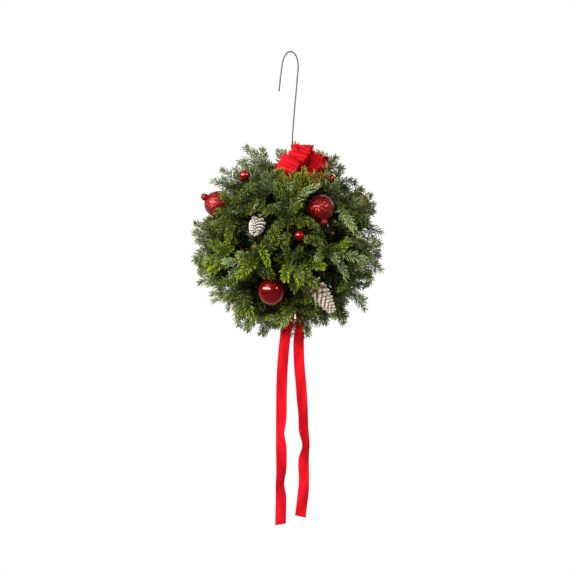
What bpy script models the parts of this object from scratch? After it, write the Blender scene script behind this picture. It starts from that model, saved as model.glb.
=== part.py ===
"""Kissing ball: cut fir sprays, baubles and cones set in a ball of floral foam that hangs on a wire hook.

Metres, +Z up, and the front faces -Y. The origin is under the crown of the hook, where the object hangs.
Places on the ball are given from the ball's centre.
"""

import math

import bmesh
import bpy
import numpy as np
from mathutils import Vector

# The ball
GAP = 0.0003  # between pieces that touch
BALL_CENTRE = Vector((-0.0055, 0.0, -0.4200))
FOAM_RADIUS = 0.080
SPRAY_COUNT = 38
SPREAD_ROUNDS = 300
SPREAD_STEP = 0.0015
LEAST_CLEAR = 0.12  # a distance on the unit ball, so that no push grows without limit
SEED = 7

# A fir spray: a woody stem with a leader and side shoots, each shoot a spindle that holds its needles
STEM_RADIUS = 0.0022
STEM_START = 0.050  # every reach is measured from the ball's centre
STEM_END = 0.165
LEADER_START = 0.145
LEADER_REACH = (0.200, 0.215)
SIDE_SHOOTS = 5
SIDE_START = 0.128
SIDE_STEP = 0.006  # along the stem from one side shoot to the next
SIDE_REACH = (0.182, 0.202)
WIDEST_LEAN = math.radians(30)
SHOOT_RADIUS = 0.0095
SHOOT_SIDES = 5
BROAD_AT = 0.4  # share of a shoot's length where it is widest
SHOULDER_AT = 0.8
SHOULDER_WIDTH = 0.75  # of the widest
TIP_ROOM = 0.004  # from a shoot's tip to the edge of its spray's own room

# Baubles, small balls and cones, on wire picks
PICK_RADIUS = 0.0008
PICK_START = 0.055
BAUBLE_RADIUS = 0.0295
KNOB_RADIUS = 0.0085
MINI_RADIUS = 0.0125
SMALL_CONE = (0.060, 0.0190)  # length, radius
LARGE_CONE = (0.086, 0.0215)

# The hanger
WIRE_RADIUS = 0.0015
SHANK_X = 0.003
TURN_RADIUS = 0.009  # of the turn under the foam that the tails hang in
TURN_DROP = 0.012  # from the foam to where the turn starts
TURN_END_DEPTH = 0.016  # of the wire's end in the foam

# The bow and the tails
BOW_PLACE = Vector((0.033, -0.118, 0.150))
BOW_FACING = Vector((0.10, -0.82, 0.56)).normalized()
BOW_LOOPS = 8
LOOP_REACH = 0.058
LOOP_RISE = 0.030
LOOP_WIDTHS = (0.009, 0.040)  # where it is gathered, and at its far end
HUB_RADIUS = 0.006
HUB_HALF = 0.009
CLOTH_THICKNESS = 0.001
TAIL_WIDTH = 0.022
FOLD_WIDTH = 0.0045  # of the gathered ribbon, where it passes over the wire

# Name, place from the ball's centre, kind
BAUBLES = (
    ("glitter_bauble_front", (0.0715, -0.1360, 0.0740), "glitter"),
    ("glitter_bauble_left", (-0.1540, -0.0350, 0.0850), "glitter"),
    ("glitter_bauble_back", (-0.0600, 0.1400, 0.0700), "glitter"),
    ("shiny_bauble_front", (-0.0360, -0.1350, -0.1060), "shiny"),
    ("shiny_bauble_right", (0.1520, 0.0550, 0.0860), "shiny"),
    ("shiny_bauble_back", (0.0500, 0.1380, -0.0950), "shiny"),
    ("mini_bauble_front", (0.0250, -0.1680, 0.0140), "mini"),
    ("mini_bauble_upper_left", (-0.0950, -0.0650, 0.1470), "mini"),
    ("mini_bauble_upper_right", (0.0920, -0.0850, 0.1390), "mini"),
    ("mini_bauble_back_left", (-0.1400, 0.0900, -0.0500), "mini"),
    ("mini_bauble_back_top", (0.0500, 0.0950, 0.1450), "mini"),
    ("mini_bauble_back_right", (0.0900, 0.1450, 0.0150), "mini"),
)
# Name, place of the base, point that it faces, (length, radius)
CONES = (
    ("small_cone_front", (-0.0600, -0.1300, 0.0380), (-0.0850, -0.2000, 0.0330), SMALL_CONE),
    ("large_cone_front", (0.0590, -0.1320, -0.0900), (0.1030, -0.1000, -0.1540), LARGE_CONE),
    ("small_cone_back", (0.0100, 0.1430, 0.0100), (0.0200, 0.2000, 0.0100), SMALL_CONE),
    ("large_cone_back", (-0.0750, 0.1200, -0.0800), (-0.1200, 0.1050, -0.1500), LARGE_CONE),
)
# The two ends of the tail ribbon, from the fold over the wire down, as (x, y, z) from the ball's centre
LEFT_TAIL = (
    (0.0120, -0.0060, -0.1200), (0.0060, -0.0240, -0.1550), (-0.0033, -0.0380, -0.1890),
    (-0.0110, -0.0420, -0.2550), (-0.0140, -0.0400, -0.3190), (-0.0145, -0.0410, -0.3830),
    (-0.0145, -0.0430, -0.4640), (-0.0145, -0.0420, -0.5400), (-0.0165, -0.0440, -0.6170),
)
RIGHT_TAIL = (
    (0.0200, 0.0040, -0.1200), (0.0220, -0.0120, -0.1550), (0.0230, -0.0300, -0.1890),
    (0.0240, -0.0360, -0.2550), (0.0290, -0.0370, -0.3190), (0.0325, -0.0390, -0.3830),
    (0.0340, -0.0370, -0.4640), (0.0335, -0.0390, -0.5400), (0.0270, -0.0400, -0.6000),
)


def material(name, colour, roughness, metallic=0.0):
    made = bpy.data.materials.new(name)
    made.use_nodes = True
    surface = made.node_tree.nodes["Principled BSDF"]
    surface.inputs["Base Color"].default_value = (*colour, 1.0)
    surface.inputs["Roughness"].default_value = roughness
    surface.inputs["Metallic"].default_value = metallic
    made.diffuse_color = (*colour, 1.0)
    return made


def add(name, mesh, look=None, smooth=True):
    """Links a mesh to the scene as a named object."""
    made = bpy.data.objects.new(name, mesh)
    bpy.context.collection.objects.link(made)
    if look:
        mesh.materials.append(look)
    if smooth:
        mesh.shade_smooth()
    return made


def as_helper(helper):
    """Hides a cutter, or a shape that is joined into another."""
    helper.hide_render = True
    helper.display_type = "WIRE"
    return helper


def aim(made, place, towards):
    """Moves an object to a place, and turns its +Z towards a direction."""
    made.location = place
    made.rotation_mode = "QUATERNION"
    made.rotation_quaternion = Vector(towards).to_track_quat("Z", "Y")
    return made


def combine(made, other, operation, self_crossing=False):
    """Adds a Boolean with a helper."""
    step = made.modifiers.new(operation.lower(), "BOOLEAN")
    step.operation = operation
    step.object = other
    step.use_self = self_crossing


def spin_profile(mesh_builder, profile, sides):
    """Adds a closed turned shape about +Z. The profile is (radius, height) pairs, bottom to top."""
    points = [mesh_builder.verts.new((radius, 0.0, height)) for radius, height in profile]
    edges = [mesh_builder.edges.new(pair) for pair in zip(points, points[1:])]
    made = bmesh.ops.spin(
        mesh_builder, geom=points + edges, cent=(0, 0, 0), axis=(0, 0, 1),
        angle=2 * math.pi, steps=sides, use_merge=True,
    )
    bmesh.ops.remove_doubles(mesh_builder, verts=mesh_builder.verts, dist=1e-6)
    return made


def turned(name, profile, sides):
    """A mesh turned from a profile that starts and ends on the axis."""
    builder = bmesh.new()
    spin_profile(builder, profile, sides)
    bmesh.ops.recalc_face_normals(builder, faces=builder.faces)
    mesh = bpy.data.meshes.new(name)
    builder.to_mesh(mesh)
    builder.free()
    return mesh


def rod(name, radius, length, sides=6):
    return turned(name, [(0, 0), (radius, 0), (radius, length), (0, length)], sides)


# ---- where each spray stands, and the room that it has ----


def unit(rows):
    return rows / np.linalg.norm(rows, axis=-1, keepdims=True)


def spread(count, sites, half_angles):
    """Unit directions for the sprays: an even spiral, whose points then push each other with a force of one
    over the square of the distance. A site pushes as a spray twice as far off as the site's edge would."""
    rank = np.arange(count) + 0.5
    polar = np.arccos(1 - 2 * rank / count)
    turn = math.pi * (3 - math.sqrt(5)) * rank
    ways = np.stack([np.cos(turn) * np.sin(polar), np.sin(turn) * np.sin(polar), np.cos(polar)], axis=1)
    sizes = np.concatenate([np.zeros(count), half_angles])
    for step in np.linspace(SPREAD_STEP, 0.0, SPREAD_ROUNDS):
        others = np.concatenate([ways, sites])
        apart = ways[:, None] - others[None]
        distance = np.maximum(np.linalg.norm(apart, axis=2), 1e-9)
        clear = np.maximum(np.where(sizes > 0, 2 * (distance - sizes), distance), LEAST_CLEAR)
        push = (apart / (distance * clear**2)[..., None]).sum(axis=1)
        ways = unit(ways + step * push)
    return ways


def room_planes(way, others, sites, half_angles):
    """The outward normals of the planes through the ball's centre that bound one spray's room. A plane lies
    half way to each other spray, and beside each site."""
    targets = np.concatenate([others, sites])
    sizes = np.concatenate([np.full(len(others), np.nan), half_angles])
    angle = np.arccos(np.clip(targets @ way, -1, 1))
    edge = np.where(np.isnan(sizes), angle / 2, angle - np.nan_to_num(sizes))
    sideways = unit(targets - (targets @ way)[:, None] * way)
    return np.cos(edge)[:, None] * sideways - np.sin(edge)[:, None] * way


def room_at(planes, point):
    """How far a point is inside the planes."""
    return float(-(planes @ point).max())


def lean_of(planes, way, across, reach):
    """How far a shoot's tip may lean from the stem's direction towards across."""
    inwards, sideways = planes @ way, planes @ across
    turns = np.linspace(0.02, WIDEST_LEAN, 60)
    room = -(np.cos(turns)[:, None] * inwards + np.sin(turns)[:, None] * sideways).max(axis=1) * reach
    return float(turns[room > TIP_ROOM].max(initial=0.02))


def shoots_of(way, planes, seed):
    """(start, tip, radius) of a spray's leader and side shoots, from the ball's centre."""
    chance = np.random.default_rng(seed)
    side = unit(np.cross(way, (0.31, 0.17, 0.93)))
    up = np.cross(way, side)
    first = chance.uniform(0, 2 * math.pi)
    wander = unit(way + 0.05 * chance.normal(size=3))
    tips = [(LEADER_START * way, chance.uniform(*LEADER_REACH) * wander)]
    for number in range(SIDE_SHOOTS):
        turn = first + 2 * math.pi * (number + chance.uniform(-0.15, 0.15)) / SIDE_SHOOTS
        across = math.cos(turn) * side + math.sin(turn) * up
        reach = chance.uniform(*SIDE_REACH)
        lean = lean_of(planes, way, across, reach)
        tip = reach * (math.cos(lean) * way + math.sin(lean) * across)
        tips.append(((SIDE_START + SIDE_STEP * number) * way, tip))
    shoots = []
    for start, tip in tips:
        broad = room_at(planes, start + BROAD_AT * (tip - start))
        shoulder = room_at(planes, start + SHOULDER_AT * (tip - start))
        shoots.append((start, tip, min(SHOOT_RADIUS, broad - GAP, shoulder / SHOULDER_WIDTH - GAP)))
    return shoots


# ---- the pieces ----


def fir_spray(name, way, planes, seed, look):
    """A stem from its socket outwards, with the leader and the side shoots joined on."""
    stem = aim(add(name, rod(name, STEM_RADIUS, STEM_END - STEM_START, SHOOT_SIDES), look, smooth=False),
               BALL_CENTRE + Vector(way) * STEM_START, way)
    builder = bmesh.new()
    for start, tip, radius in shoots_of(way, planes, seed):
        along = Vector(tip - start)
        length = along.length
        before = set(builder.verts)
        profile = [
            (0, 0), (0.7 * STEM_RADIUS, 0), (radius, BROAD_AT * length),
            (SHOULDER_WIDTH * radius, SHOULDER_AT * length), (0, length),
        ]
        spin_profile(builder, profile, SHOOT_SIDES)
        new = [point for point in builder.verts if point not in before]
        place = along.to_track_quat("Z", "Y").to_matrix().to_4x4()
        place.translation = BALL_CENTRE + Vector(start)
        bmesh.ops.transform(builder, matrix=place, verts=new)
    bmesh.ops.recalc_face_normals(builder, faces=builder.faces)
    mesh = bpy.data.meshes.new(name + "_shoots")
    builder.to_mesh(mesh)
    builder.free()
    combine(stem, as_helper(add(mesh.name, mesh)), "UNION", self_crossing=True)
    return stem


def pick_to(name, place, end_reach):
    """The wire of an ornament: a thin rod from its socket in the foam towards the ornament."""
    way = Vector(place).normalized()
    wire = add(name + "_pick", rod(name + "_pick", PICK_RADIUS, end_reach - PICK_START))
    return as_helper(aim(wire, BALL_CENTRE + way * PICK_START, way))


def bauble(name, place, kind, look):
    radius = MINI_RADIUS if kind == "mini" else BAUBLE_RADIUS
    rings = 6 if kind == "mini" else 10
    builder = bmesh.new()
    bmesh.ops.create_uvsphere(builder, u_segments=rings + 4, v_segments=rings, radius=radius)
    mesh = bpy.data.meshes.new(name)
    builder.to_mesh(mesh)
    builder.free()
    place = Vector(place)
    ball = aim(add(name, mesh, look), BALL_CENTRE + place, place)
    combine(ball, pick_to(name, place, place.length - 0.7 * radius), "UNION")
    if kind == "glitter":
        knob_mesh = bpy.data.meshes.new(name + "_knob")
        builder = bmesh.new()
        bmesh.ops.create_uvsphere(builder, u_segments=10, v_segments=6, radius=KNOB_RADIUS)
        builder.to_mesh(knob_mesh)
        builder.free()
        knob = as_helper(add(knob_mesh.name, knob_mesh))
        down = Vector((0.22, -0.35, -0.91)) if name.endswith("front") else place
        knob.location = BALL_CENTRE + place + down.normalized() * (radius + 0.4 * KNOB_RADIUS)
        combine(ball, knob, "UNION")
    return ball


def cone(name, base, faces, size, look):
    """A cone's body: an egg shape with a step for each whorl of scales."""
    length, radius = size
    whorls = 6
    profile = [(0, 0)]
    for number in range(whorls):
        along = (number + 0.15) / whorls
        width = radius * math.sin(math.pi * (0.14 + 0.80 * along)) ** 0.7
        profile += [(0.80 * width, (along - 0.04) * length), (width, (along + 0.09) * length)]
    profile.append((0, length))
    base = Vector(base)
    body = aim(add(name, turned(name, profile, 10), look), BALL_CENTRE + base, Vector(faces) - base)
    combine(body, pick_to(name, base, base.length + 0.004), "UNION")
    return body


def strip(stations):
    """The points and faces of a flat sheet along (point, across) stations."""
    points = [tuple(point + side * across) for point, across in stations for side in (-0.5, 0.5)]
    faces = [(2 * i, 2 * i + 1, 2 * i + 3, 2 * i + 2) for i in range(len(stations) - 1)]
    return points, faces


def thicken(made):
    step = made.modifiers.new("cloth", "SOLIDIFY")
    step.thickness = CLOTH_THICKNESS
    step.offset = 0.0
    step.use_even_offset = True
    return made


def bow(look):
    """Ribbon loops that fan out round a gathered middle. Local +Z is the way that the bow faces."""
    hub_profile = [(0, -HUB_HALF), (HUB_RADIUS, -HUB_HALF), (HUB_RADIUS, HUB_HALF), (0, HUB_HALF)]
    made = aim(add("bow", turned("bow", hub_profile, 10), look), BALL_CENTRE + BOW_PLACE, BOW_FACING)
    points, faces = [], []
    for number in range(BOW_LOOPS):
        turn = 2 * math.pi * (number + 0.15) / BOW_LOOPS + 0.05 * math.sin(2.3 * number)
        lift = LOOP_RISE * (1.0 - 0.3 * (number % 2) + 0.04 * number)
        out = Vector((math.cos(turn), math.sin(turn), 0))
        across = Vector((-math.sin(turn), math.cos(turn), 0))
        stations = []
        for part in np.linspace(0, 1, 11):
            swell = math.sin(math.pi * part)
            width = LOOP_WIDTHS[0] + (LOOP_WIDTHS[1] - LOOP_WIDTHS[0]) * swell**1.5
            rise = -0.002 + 0.0004 * number + 0.008 * part + lift * swell * (part - 0.2)
            middle = out * (0.001 + (LOOP_REACH - 0.001) * swell) + Vector((0, 0, rise))
            stations.append((middle, across * width))
        loop_points, loop_faces = strip(stations)
        faces += [tuple(index + len(points) for index in face) for face in loop_faces]
        points += loop_points
    mesh = bpy.data.meshes.new("bow_loops")
    mesh.from_pydata(points, [], faces)
    loops = thicken(as_helper(add("bow_loops", mesh)))
    loops.parent = made
    combine(made, loops, "UNION", self_crossing=True)
    return made


def bow_wire(look):
    """The tie wire round the bow's middle, with its tail as the pick that holds the bow in the foam."""
    ring_radius = HUB_RADIUS + GAP + PICK_RADIUS
    bpy.ops.mesh.primitive_torus_add(
        major_radius=ring_radius, minor_radius=PICK_RADIUS, major_segments=16, minor_segments=6
    )
    ring = bpy.context.object
    ring.name = "bow_wire"
    ring.data.materials.append(look)
    centre = BOW_PLACE - BOW_FACING * (HUB_HALF - 2 * PICK_RADIUS)
    aim(ring, BALL_CENTRE + centre, BOW_FACING)
    inwards = -centre.normalized()
    towards = (inwards - inwards.dot(BOW_FACING) * BOW_FACING).normalized()
    tail_top = centre + towards * ring_radius
    combine(ring, pick_to("bow_wire", tail_top, tail_top.length), "UNION")
    return ring, tail_top


def hanger(look):
    """One wire: the hook, the shank through the foam, and the turn below it whose end goes back up."""
    foam_bottom = BALL_CENTRE.z - FOAM_RADIUS
    turn_z = foam_bottom - TURN_DROP
    route = [
        (-0.0253, -0.0860), (-0.0215, -0.0520), (-0.0165, -0.0190), (-0.0105, -0.0050), (0.0, WIRE_RADIUS),
        (0.0110, -0.0060), (0.0165, -0.0260), (0.0145, -0.0620), (0.0085, -0.1300), (0.0038, -0.2000),
        (SHANK_X, -0.2700), (SHANK_X, -0.3400), (SHANK_X, foam_bottom), (SHANK_X, turn_z),
    ]
    for number in range(1, 6):
        turn = math.pi * number / 6
        route.append((SHANK_X + TURN_RADIUS * (1 - math.cos(turn)), turn_z - TURN_RADIUS * math.sin(turn)))
    route += [(SHANK_X + 2 * TURN_RADIUS, turn_z), (SHANK_X + 2 * TURN_RADIUS, foam_bottom + TURN_END_DEPTH)]
    curve = bpy.data.curves.new("hanger_wire", "CURVE")
    curve.dimensions = "3D"
    curve.bevel_depth = WIRE_RADIUS
    curve.bevel_resolution = 1
    curve.use_fill_caps = True
    spline = curve.splines.new("BEZIER")
    spline.bezier_points.add(len(route) - 1)
    for point, (x, z) in zip(spline.bezier_points, route):
        point.co = (x, 0.0, z)
        point.handle_left_type = point.handle_right_type = "AUTO"
    spline.resolution_u = 3
    curve.materials.append(look)
    made = bpy.data.objects.new("hanger_wire", curve)
    bpy.context.collection.objects.link(made)
    return made


def tail_ribbon(look):
    """One ribbon, gathered and folded over the wire's turn, with both ends hanging."""
    over = FOAM_RADIUS + TURN_DROP + TURN_RADIUS
    fold_radius = WIRE_RADIUS + 1.7 * GAP + CLOTH_THICKNESS / 2
    fold_x = SHANK_X + TURN_RADIUS - BALL_CENTRE.x
    fold = [
        Vector((fold_x, -fold_radius * math.cos(turn), -over + fold_radius * math.sin(turn)))
        for turn in np.linspace(0, math.pi, 7)
    ]
    left = [Vector(place) for place in LEFT_TAIL]
    right = [Vector(place) for place in RIGHT_TAIL]
    middle = left[::-1] + fold + right
    stations = []
    for place in middle:
        drop = min(max((-place.z - over) / 0.06, 0.0), 1.0)
        width = FOLD_WIDTH + (TAIL_WIDTH - FOLD_WIDTH) * drop
        stations.append((place, Vector((width, 0, 0))))
    points, faces = strip(stations)
    mesh = bpy.data.meshes.new("tail_ribbon")
    mesh.from_pydata(points, [], faces)
    made = thicken(add("tail_ribbon", mesh, look))
    made.location = BALL_CENTRE
    return made


def foam_core(stem_ways, pick_ways, look):
    """The foam ball, with a socket for each stem and pick and a hole for the hanger."""
    builder = bmesh.new()
    bmesh.ops.create_icosphere(builder, subdivisions=3, radius=FOAM_RADIUS)
    mesh = bpy.data.meshes.new("foam_core")
    builder.to_mesh(mesh)
    builder.free()
    core = add("foam_core", mesh, look)
    core.location = BALL_CENTRE
    sockets = bpy.data.collections.new("sockets")
    bpy.context.scene.collection.children.link(sockets)

    def socket(radius, start, way, length, sides):
        helper = as_helper(add("socket", rod("socket", radius + 1.3 * GAP, length, sides)))
        bpy.context.collection.objects.unlink(helper)
        sockets.objects.link(helper)
        aim(helper, BALL_CENTRE + Vector(start), way)

    for way in stem_ways:
        start = STEM_START - GAP
        socket(STEM_RADIUS, Vector(way) * start, way, FOAM_RADIUS + 0.01 - start, SHOOT_SIDES)
    for way in pick_ways:
        start = PICK_START - GAP
        socket(PICK_RADIUS, Vector(way) * start, way, FOAM_RADIUS + 0.01 - start, 6)
    shank = SHANK_X - BALL_CENTRE.x
    socket(WIRE_RADIUS, (shank, 0, -FOAM_RADIUS - 0.01), (0, 0, 1), 2 * FOAM_RADIUS + 0.02, 8)
    top = -FOAM_RADIUS + TURN_END_DEPTH + GAP
    socket(WIRE_RADIUS, (shank + 2 * TURN_RADIUS, 0, top), (0, 0, -1), 0.03, 8)
    cut = core.modifiers.new("sockets", "BOOLEAN")
    cut.operation = "DIFFERENCE"
    cut.operand_type = "COLLECTION"
    cut.collection = sockets
    return core


def sites_on_ball():
    """(direction, half angle) of each thing that the sprays stand clear of."""
    sites = [((SHANK_X - BALL_CENTRE.x, 0, 0.150), 0.07)]
    sites.append(((SHANK_X + TURN_RADIUS - BALL_CENTRE.x, 0, -0.110), 0.17))
    sites.append(((0.014, -0.034, -0.185), 0.17))
    sites.append((BOW_PLACE, LOOP_REACH / BOW_PLACE.length * 0.95))
    for _, place, kind in BAUBLES:
        radius = MINI_RADIUS if kind == "mini" else BAUBLE_RADIUS + 0.003
        sites.append((place, radius / Vector(place).length + 0.015))
    for _, base, faces, (length, radius) in CONES:
        base, faces = Vector(base), Vector(faces)
        for along in (0.25, 0.80):
            place = base + (faces - base).normalized() * along * length
            sites.append((place, radius / place.length + 0.015))
    return unit(np.array([tuple(place) for place, _ in sites])), np.array([size for _, size in sites])


for leftover in list(bpy.data.objects):
    bpy.data.objects.remove(leftover)

fir_green = material("fir_green", (0.055, 0.115, 0.030), 0.55)
foam_green = material("foam_green", (0.030, 0.070, 0.030), 0.95)
glitter_red = material("glitter_red", (0.450, 0.010, 0.015), 0.35, 0.6)
shiny_red = material("shiny_red", (0.480, 0.006, 0.010), 0.12, 0.4)
cone_scale = material("cone_scale", (0.520, 0.440, 0.370), 0.85)
ribbon_red = material("ribbon_red", (0.760, 0.010, 0.018), 0.60)
wire_grey = material("wire_grey", (0.420, 0.420, 0.430), 0.40, 1.0)

site_ways, site_sizes = sites_on_ball()
spray_ways = spread(SPRAY_COUNT, site_ways, site_sizes)
for index, spray_way in enumerate(spray_ways):
    neighbours = np.delete(spray_ways, index, axis=0)
    bounds = room_planes(spray_way, neighbours, site_ways, site_sizes)
    fir_spray(f"fir_spray_{index + 1:02d}", spray_way, bounds, SEED + index, fir_green)

for bauble_name, bauble_place, bauble_kind in BAUBLES:
    bauble(bauble_name, bauble_place, bauble_kind, glitter_red if bauble_kind == "glitter" else shiny_red)
for cone_name, cone_base, cone_faces, cone_size in CONES:
    cone(cone_name, cone_base, cone_faces, cone_size, cone_scale)
bow(ribbon_red)
_, bow_pick_top = bow_wire(wire_grey)
hanger(wire_grey)
tail_ribbon(ribbon_red)
picks = [Vector(place) for _, place, _ in BAUBLES] + [Vector(base) for _, base, _, _ in CONES] + [bow_pick_top]
foam_core(spray_ways, [place.normalized() for place in picks], foam_green)
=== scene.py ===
import math

import bpy
import numpy as np
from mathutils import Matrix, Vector


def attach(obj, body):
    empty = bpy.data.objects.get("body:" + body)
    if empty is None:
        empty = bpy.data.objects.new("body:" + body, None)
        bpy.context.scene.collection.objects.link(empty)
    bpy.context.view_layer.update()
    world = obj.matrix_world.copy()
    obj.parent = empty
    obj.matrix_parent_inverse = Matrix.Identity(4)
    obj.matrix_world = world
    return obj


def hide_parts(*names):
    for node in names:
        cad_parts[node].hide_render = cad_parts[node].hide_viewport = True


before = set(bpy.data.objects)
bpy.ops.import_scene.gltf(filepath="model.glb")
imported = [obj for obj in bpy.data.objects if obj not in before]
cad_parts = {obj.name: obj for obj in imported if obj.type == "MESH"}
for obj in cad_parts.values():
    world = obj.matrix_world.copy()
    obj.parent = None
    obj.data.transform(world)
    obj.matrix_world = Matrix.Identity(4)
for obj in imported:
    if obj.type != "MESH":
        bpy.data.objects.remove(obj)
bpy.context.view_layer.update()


# ---- Foam core ----
# The middle of the ball: a sphere of green floral foam, 160 mm across, run through by the hanger's shank.
# It is open-celled and dry, and every stem and pick is pushed into it. The solid stays and gets its finish.

BALL_CENTRE = np.array([-0.0055, 0.0, -0.4200])
FOAM_RADIUS = 0.080
# The foam's colours are painted near black: painted shade for the dark inside of the ball, where the needles
# keep the light off.
FOAM_DARK = (0.003, 0.006, 0.002, 1)
FOAM_LIGHT = (0.006, 0.012, 0.004, 1)


def node(tree, kind, sockets=None, **settings):
    """Adds one shader node. A socket is given a constant, or another node's output to be joined to."""
    made = tree.nodes.new("ShaderNode" + kind)
    for setting, value in settings.items():
        setattr(made, setting, value)
    for socket, value in (sockets or {}).items():
        if isinstance(value, bpy.types.NodeSocket):
            tree.links.new(value, made.inputs[socket])
        else:
            made.inputs[socket].default_value = value
    return made


def two_colours(tree, share, first, second):
    """Colour = first * (1 - share) + second * share."""
    return node(tree, "Mix", {0: share, 6: first, 7: second}, data_type="RGBA").outputs[2]


def graded(tree, value, low, high, least=0.0, most=1.0):
    """Value = least at low, most at high, even between them and level beyond."""
    sockets = {0: value, 1: low, 2: high, 3: least, 4: most}
    return node(tree, "MapRange", sockets).outputs[0]


def mathed(tree, operation, first, second):
    """One sum, product or the like of two values."""
    return node(tree, "Math", {0: first, 1: second}, operation=operation).outputs[0]


def mark_of(tree, name):
    """The value that a piece's mesh has for this mark."""
    return node(tree, "Attribute", attribute_name=name).outputs["Fac"]


def finish_of(name, sockets):
    """A material whose shader has these constant sockets, with its node tree and shader."""
    look = bpy.data.materials.new(name)
    look.use_nodes = True
    shader = look.node_tree.nodes["Principled BSDF"]
    for socket, value in sockets.items():
        shader.inputs[socket].default_value = value
    return look, look.node_tree, shader


def feed(tree, shader, **outputs):
    """Joins outputs to the shader's sockets: colour, roughness, normal."""
    sockets = {"colour": "Base Color", "roughness": "Roughness", "normal": "Normal"}
    for given, output in outputs.items():
        tree.links.new(output, shader.inputs[sockets[given]])


def bump(tree, height, strength, distance):
    """Normals that tilt as if the surface rose by distance where height is 1."""
    return node(tree, "Bump", {"Height": height, "Strength": strength, "Distance": distance}).outputs[0]


# Patches: a mask that is 0 in the low places of a cloudy noise and 1 in its high places.
patches = bpy.data.node_groups.new("patches", "ShaderNodeTree")
for socket_name in ("Scale", "Detail", "Low", "High"):
    patches.interface.new_socket(socket_name, in_out="INPUT", socket_type="NodeSocketFloat")
patches.interface.new_socket("Mask", in_out="OUTPUT", socket_type="NodeSocketFloat")
patch_in = patches.nodes.new("NodeGroupInput").outputs
patch_place = node(patches, "TexCoord").outputs["Object"]
patch_noise = node(patches, "TexNoise", {
    "Vector": patch_place, "Scale": patch_in["Scale"], "Detail": patch_in["Detail"]}).outputs[0]
patch_mask = graded(patches, patch_noise, patch_in["Low"], patch_in["High"])
patches.links.new(patch_mask, patches.nodes.new("NodeGroupOutput").inputs["Mask"])


def patch_mask_of(tree, scale, low=0.4, high=0.6, detail=2.0):
    """The patches mask with its own size and limits."""
    sockets = {"Scale": scale, "Detail": detail, "Low": low, "High": high}
    return node(tree, "Group", sockets, node_tree=patches).outputs["Mask"]


foam_look, foam_tree, foam_shader = finish_of("floral_foam", {"Roughness": 1.0, "Specular IOR Level": 0.0})
foam_place = node(foam_tree, "TexCoord").outputs["Object"]
foam_cells = node(foam_tree, "TexVoronoi", {"Vector": foam_place, "Scale": 900.0}).outputs["Distance"]
foam_painted_shade = two_colours(foam_tree, patch_mask_of(foam_tree, 60.0, 0.35, 0.65), FOAM_DARK, FOAM_LIGHT)
feed(foam_tree, foam_shader, colour=foam_painted_shade, normal=bump(foam_tree, foam_cells, 0.8, 0.0012))
foam_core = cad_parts["foam_core"]
foam_core.material_slots[0].material = foam_look


# ---- Hanger wire ----
# One galvanised steel wire, 3 mm thick: a hook bent over at the top, a straight shank down through the foam,
# and a turn below it whose end goes back up into the foam, so that the ball can't slide off.

WIRE_RADIUS = 0.0015
SHANK_X = 0.003
TURN_RADIUS = 0.009
TURN_DROP = 0.012
TURN_Z = BALL_CENTRE[2] - FOAM_RADIUS - TURN_DROP
TURN_END_Z = BALL_CENTRE[2] - FOAM_RADIUS + 0.016
# X and Z of the hook, from its free end over its crown and down the shank
HOOK_ROUTE = (
    (-0.0253, -0.0860), (-0.0215, -0.0520), (-0.0165, -0.0190), (-0.0105, -0.0050), (0.0, 0.0015),
    (0.0110, -0.0060), (0.0165, -0.0260), (0.0145, -0.0620), (0.0085, -0.1300), (0.0038, -0.2000),
    (0.0030, -0.2700), (0.0030, -0.3400), (0.0030, -0.5000), (0.0030, -0.5120),
)


def unit(rows):
    """Each row over its own length."""
    return rows / np.linalg.norm(rows, axis=-1, keepdims=True)


def smooth_path(points, steps):
    """Cubic curve through the points: on each span, p = h00 p0 + h10 dt m0 + h01 p1 + h11 dt m1, with the
    spans' times dt the square roots of their lengths and the speeds m weighed by the spans on both sides."""
    points = np.asarray(points, float)
    spans = np.diff(points, axis=0)
    times = np.sqrt(np.linalg.norm(spans, axis=1))[:, None]
    speeds = spans / times
    middle = (speeds[:-1] * times[1:] + speeds[1:] * times[:-1]) / (times[:-1] + times[1:])
    speeds = np.concatenate([speeds[:1], middle, speeds[-1:]])
    part = (np.arange(steps) / steps)[:, None, None]
    first, second = points[:-1], points[1:]
    curve = (
        (2 * part**3 - 3 * part**2 + 1) * first + (part**3 - 2 * part**2 + part) * times * speeds[:-1]
        + (3 * part**2 - 2 * part**3) * second + (part**3 - part**2) * times * speeds[1:]
    )
    return np.concatenate([curve.transpose(1, 0, 2).reshape(-1, 3), points[-1:]])


def circle(count):
    """Angles at even steps round a circle: 2 pi k / n."""
    return np.arange(count) * 2 * math.pi / count


def ring_of(turn, first, second):
    """cos a U + sin a V for each angle a."""
    return np.cos(turn)[..., None] * first + np.sin(turn)[..., None] * second


def tubes(paths, radii, level, sides):
    """Rings round flat paths: p + r (cos a N + sin a B), with B the level vector, square to the whole
    path, and N = B x T. Paths are (paths, points, 3), radii (paths, points), level (paths, 3)."""
    ahead = unit(np.gradient(paths, axis=1))
    level = np.broadcast_to(level[:, None], paths.shape)
    across = unit(np.cross(level, ahead))
    ring = ring_of(circle(sides), across[:, :, None], level[:, :, None])
    return paths[:, :, None] + radii[..., None, None] * ring


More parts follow.
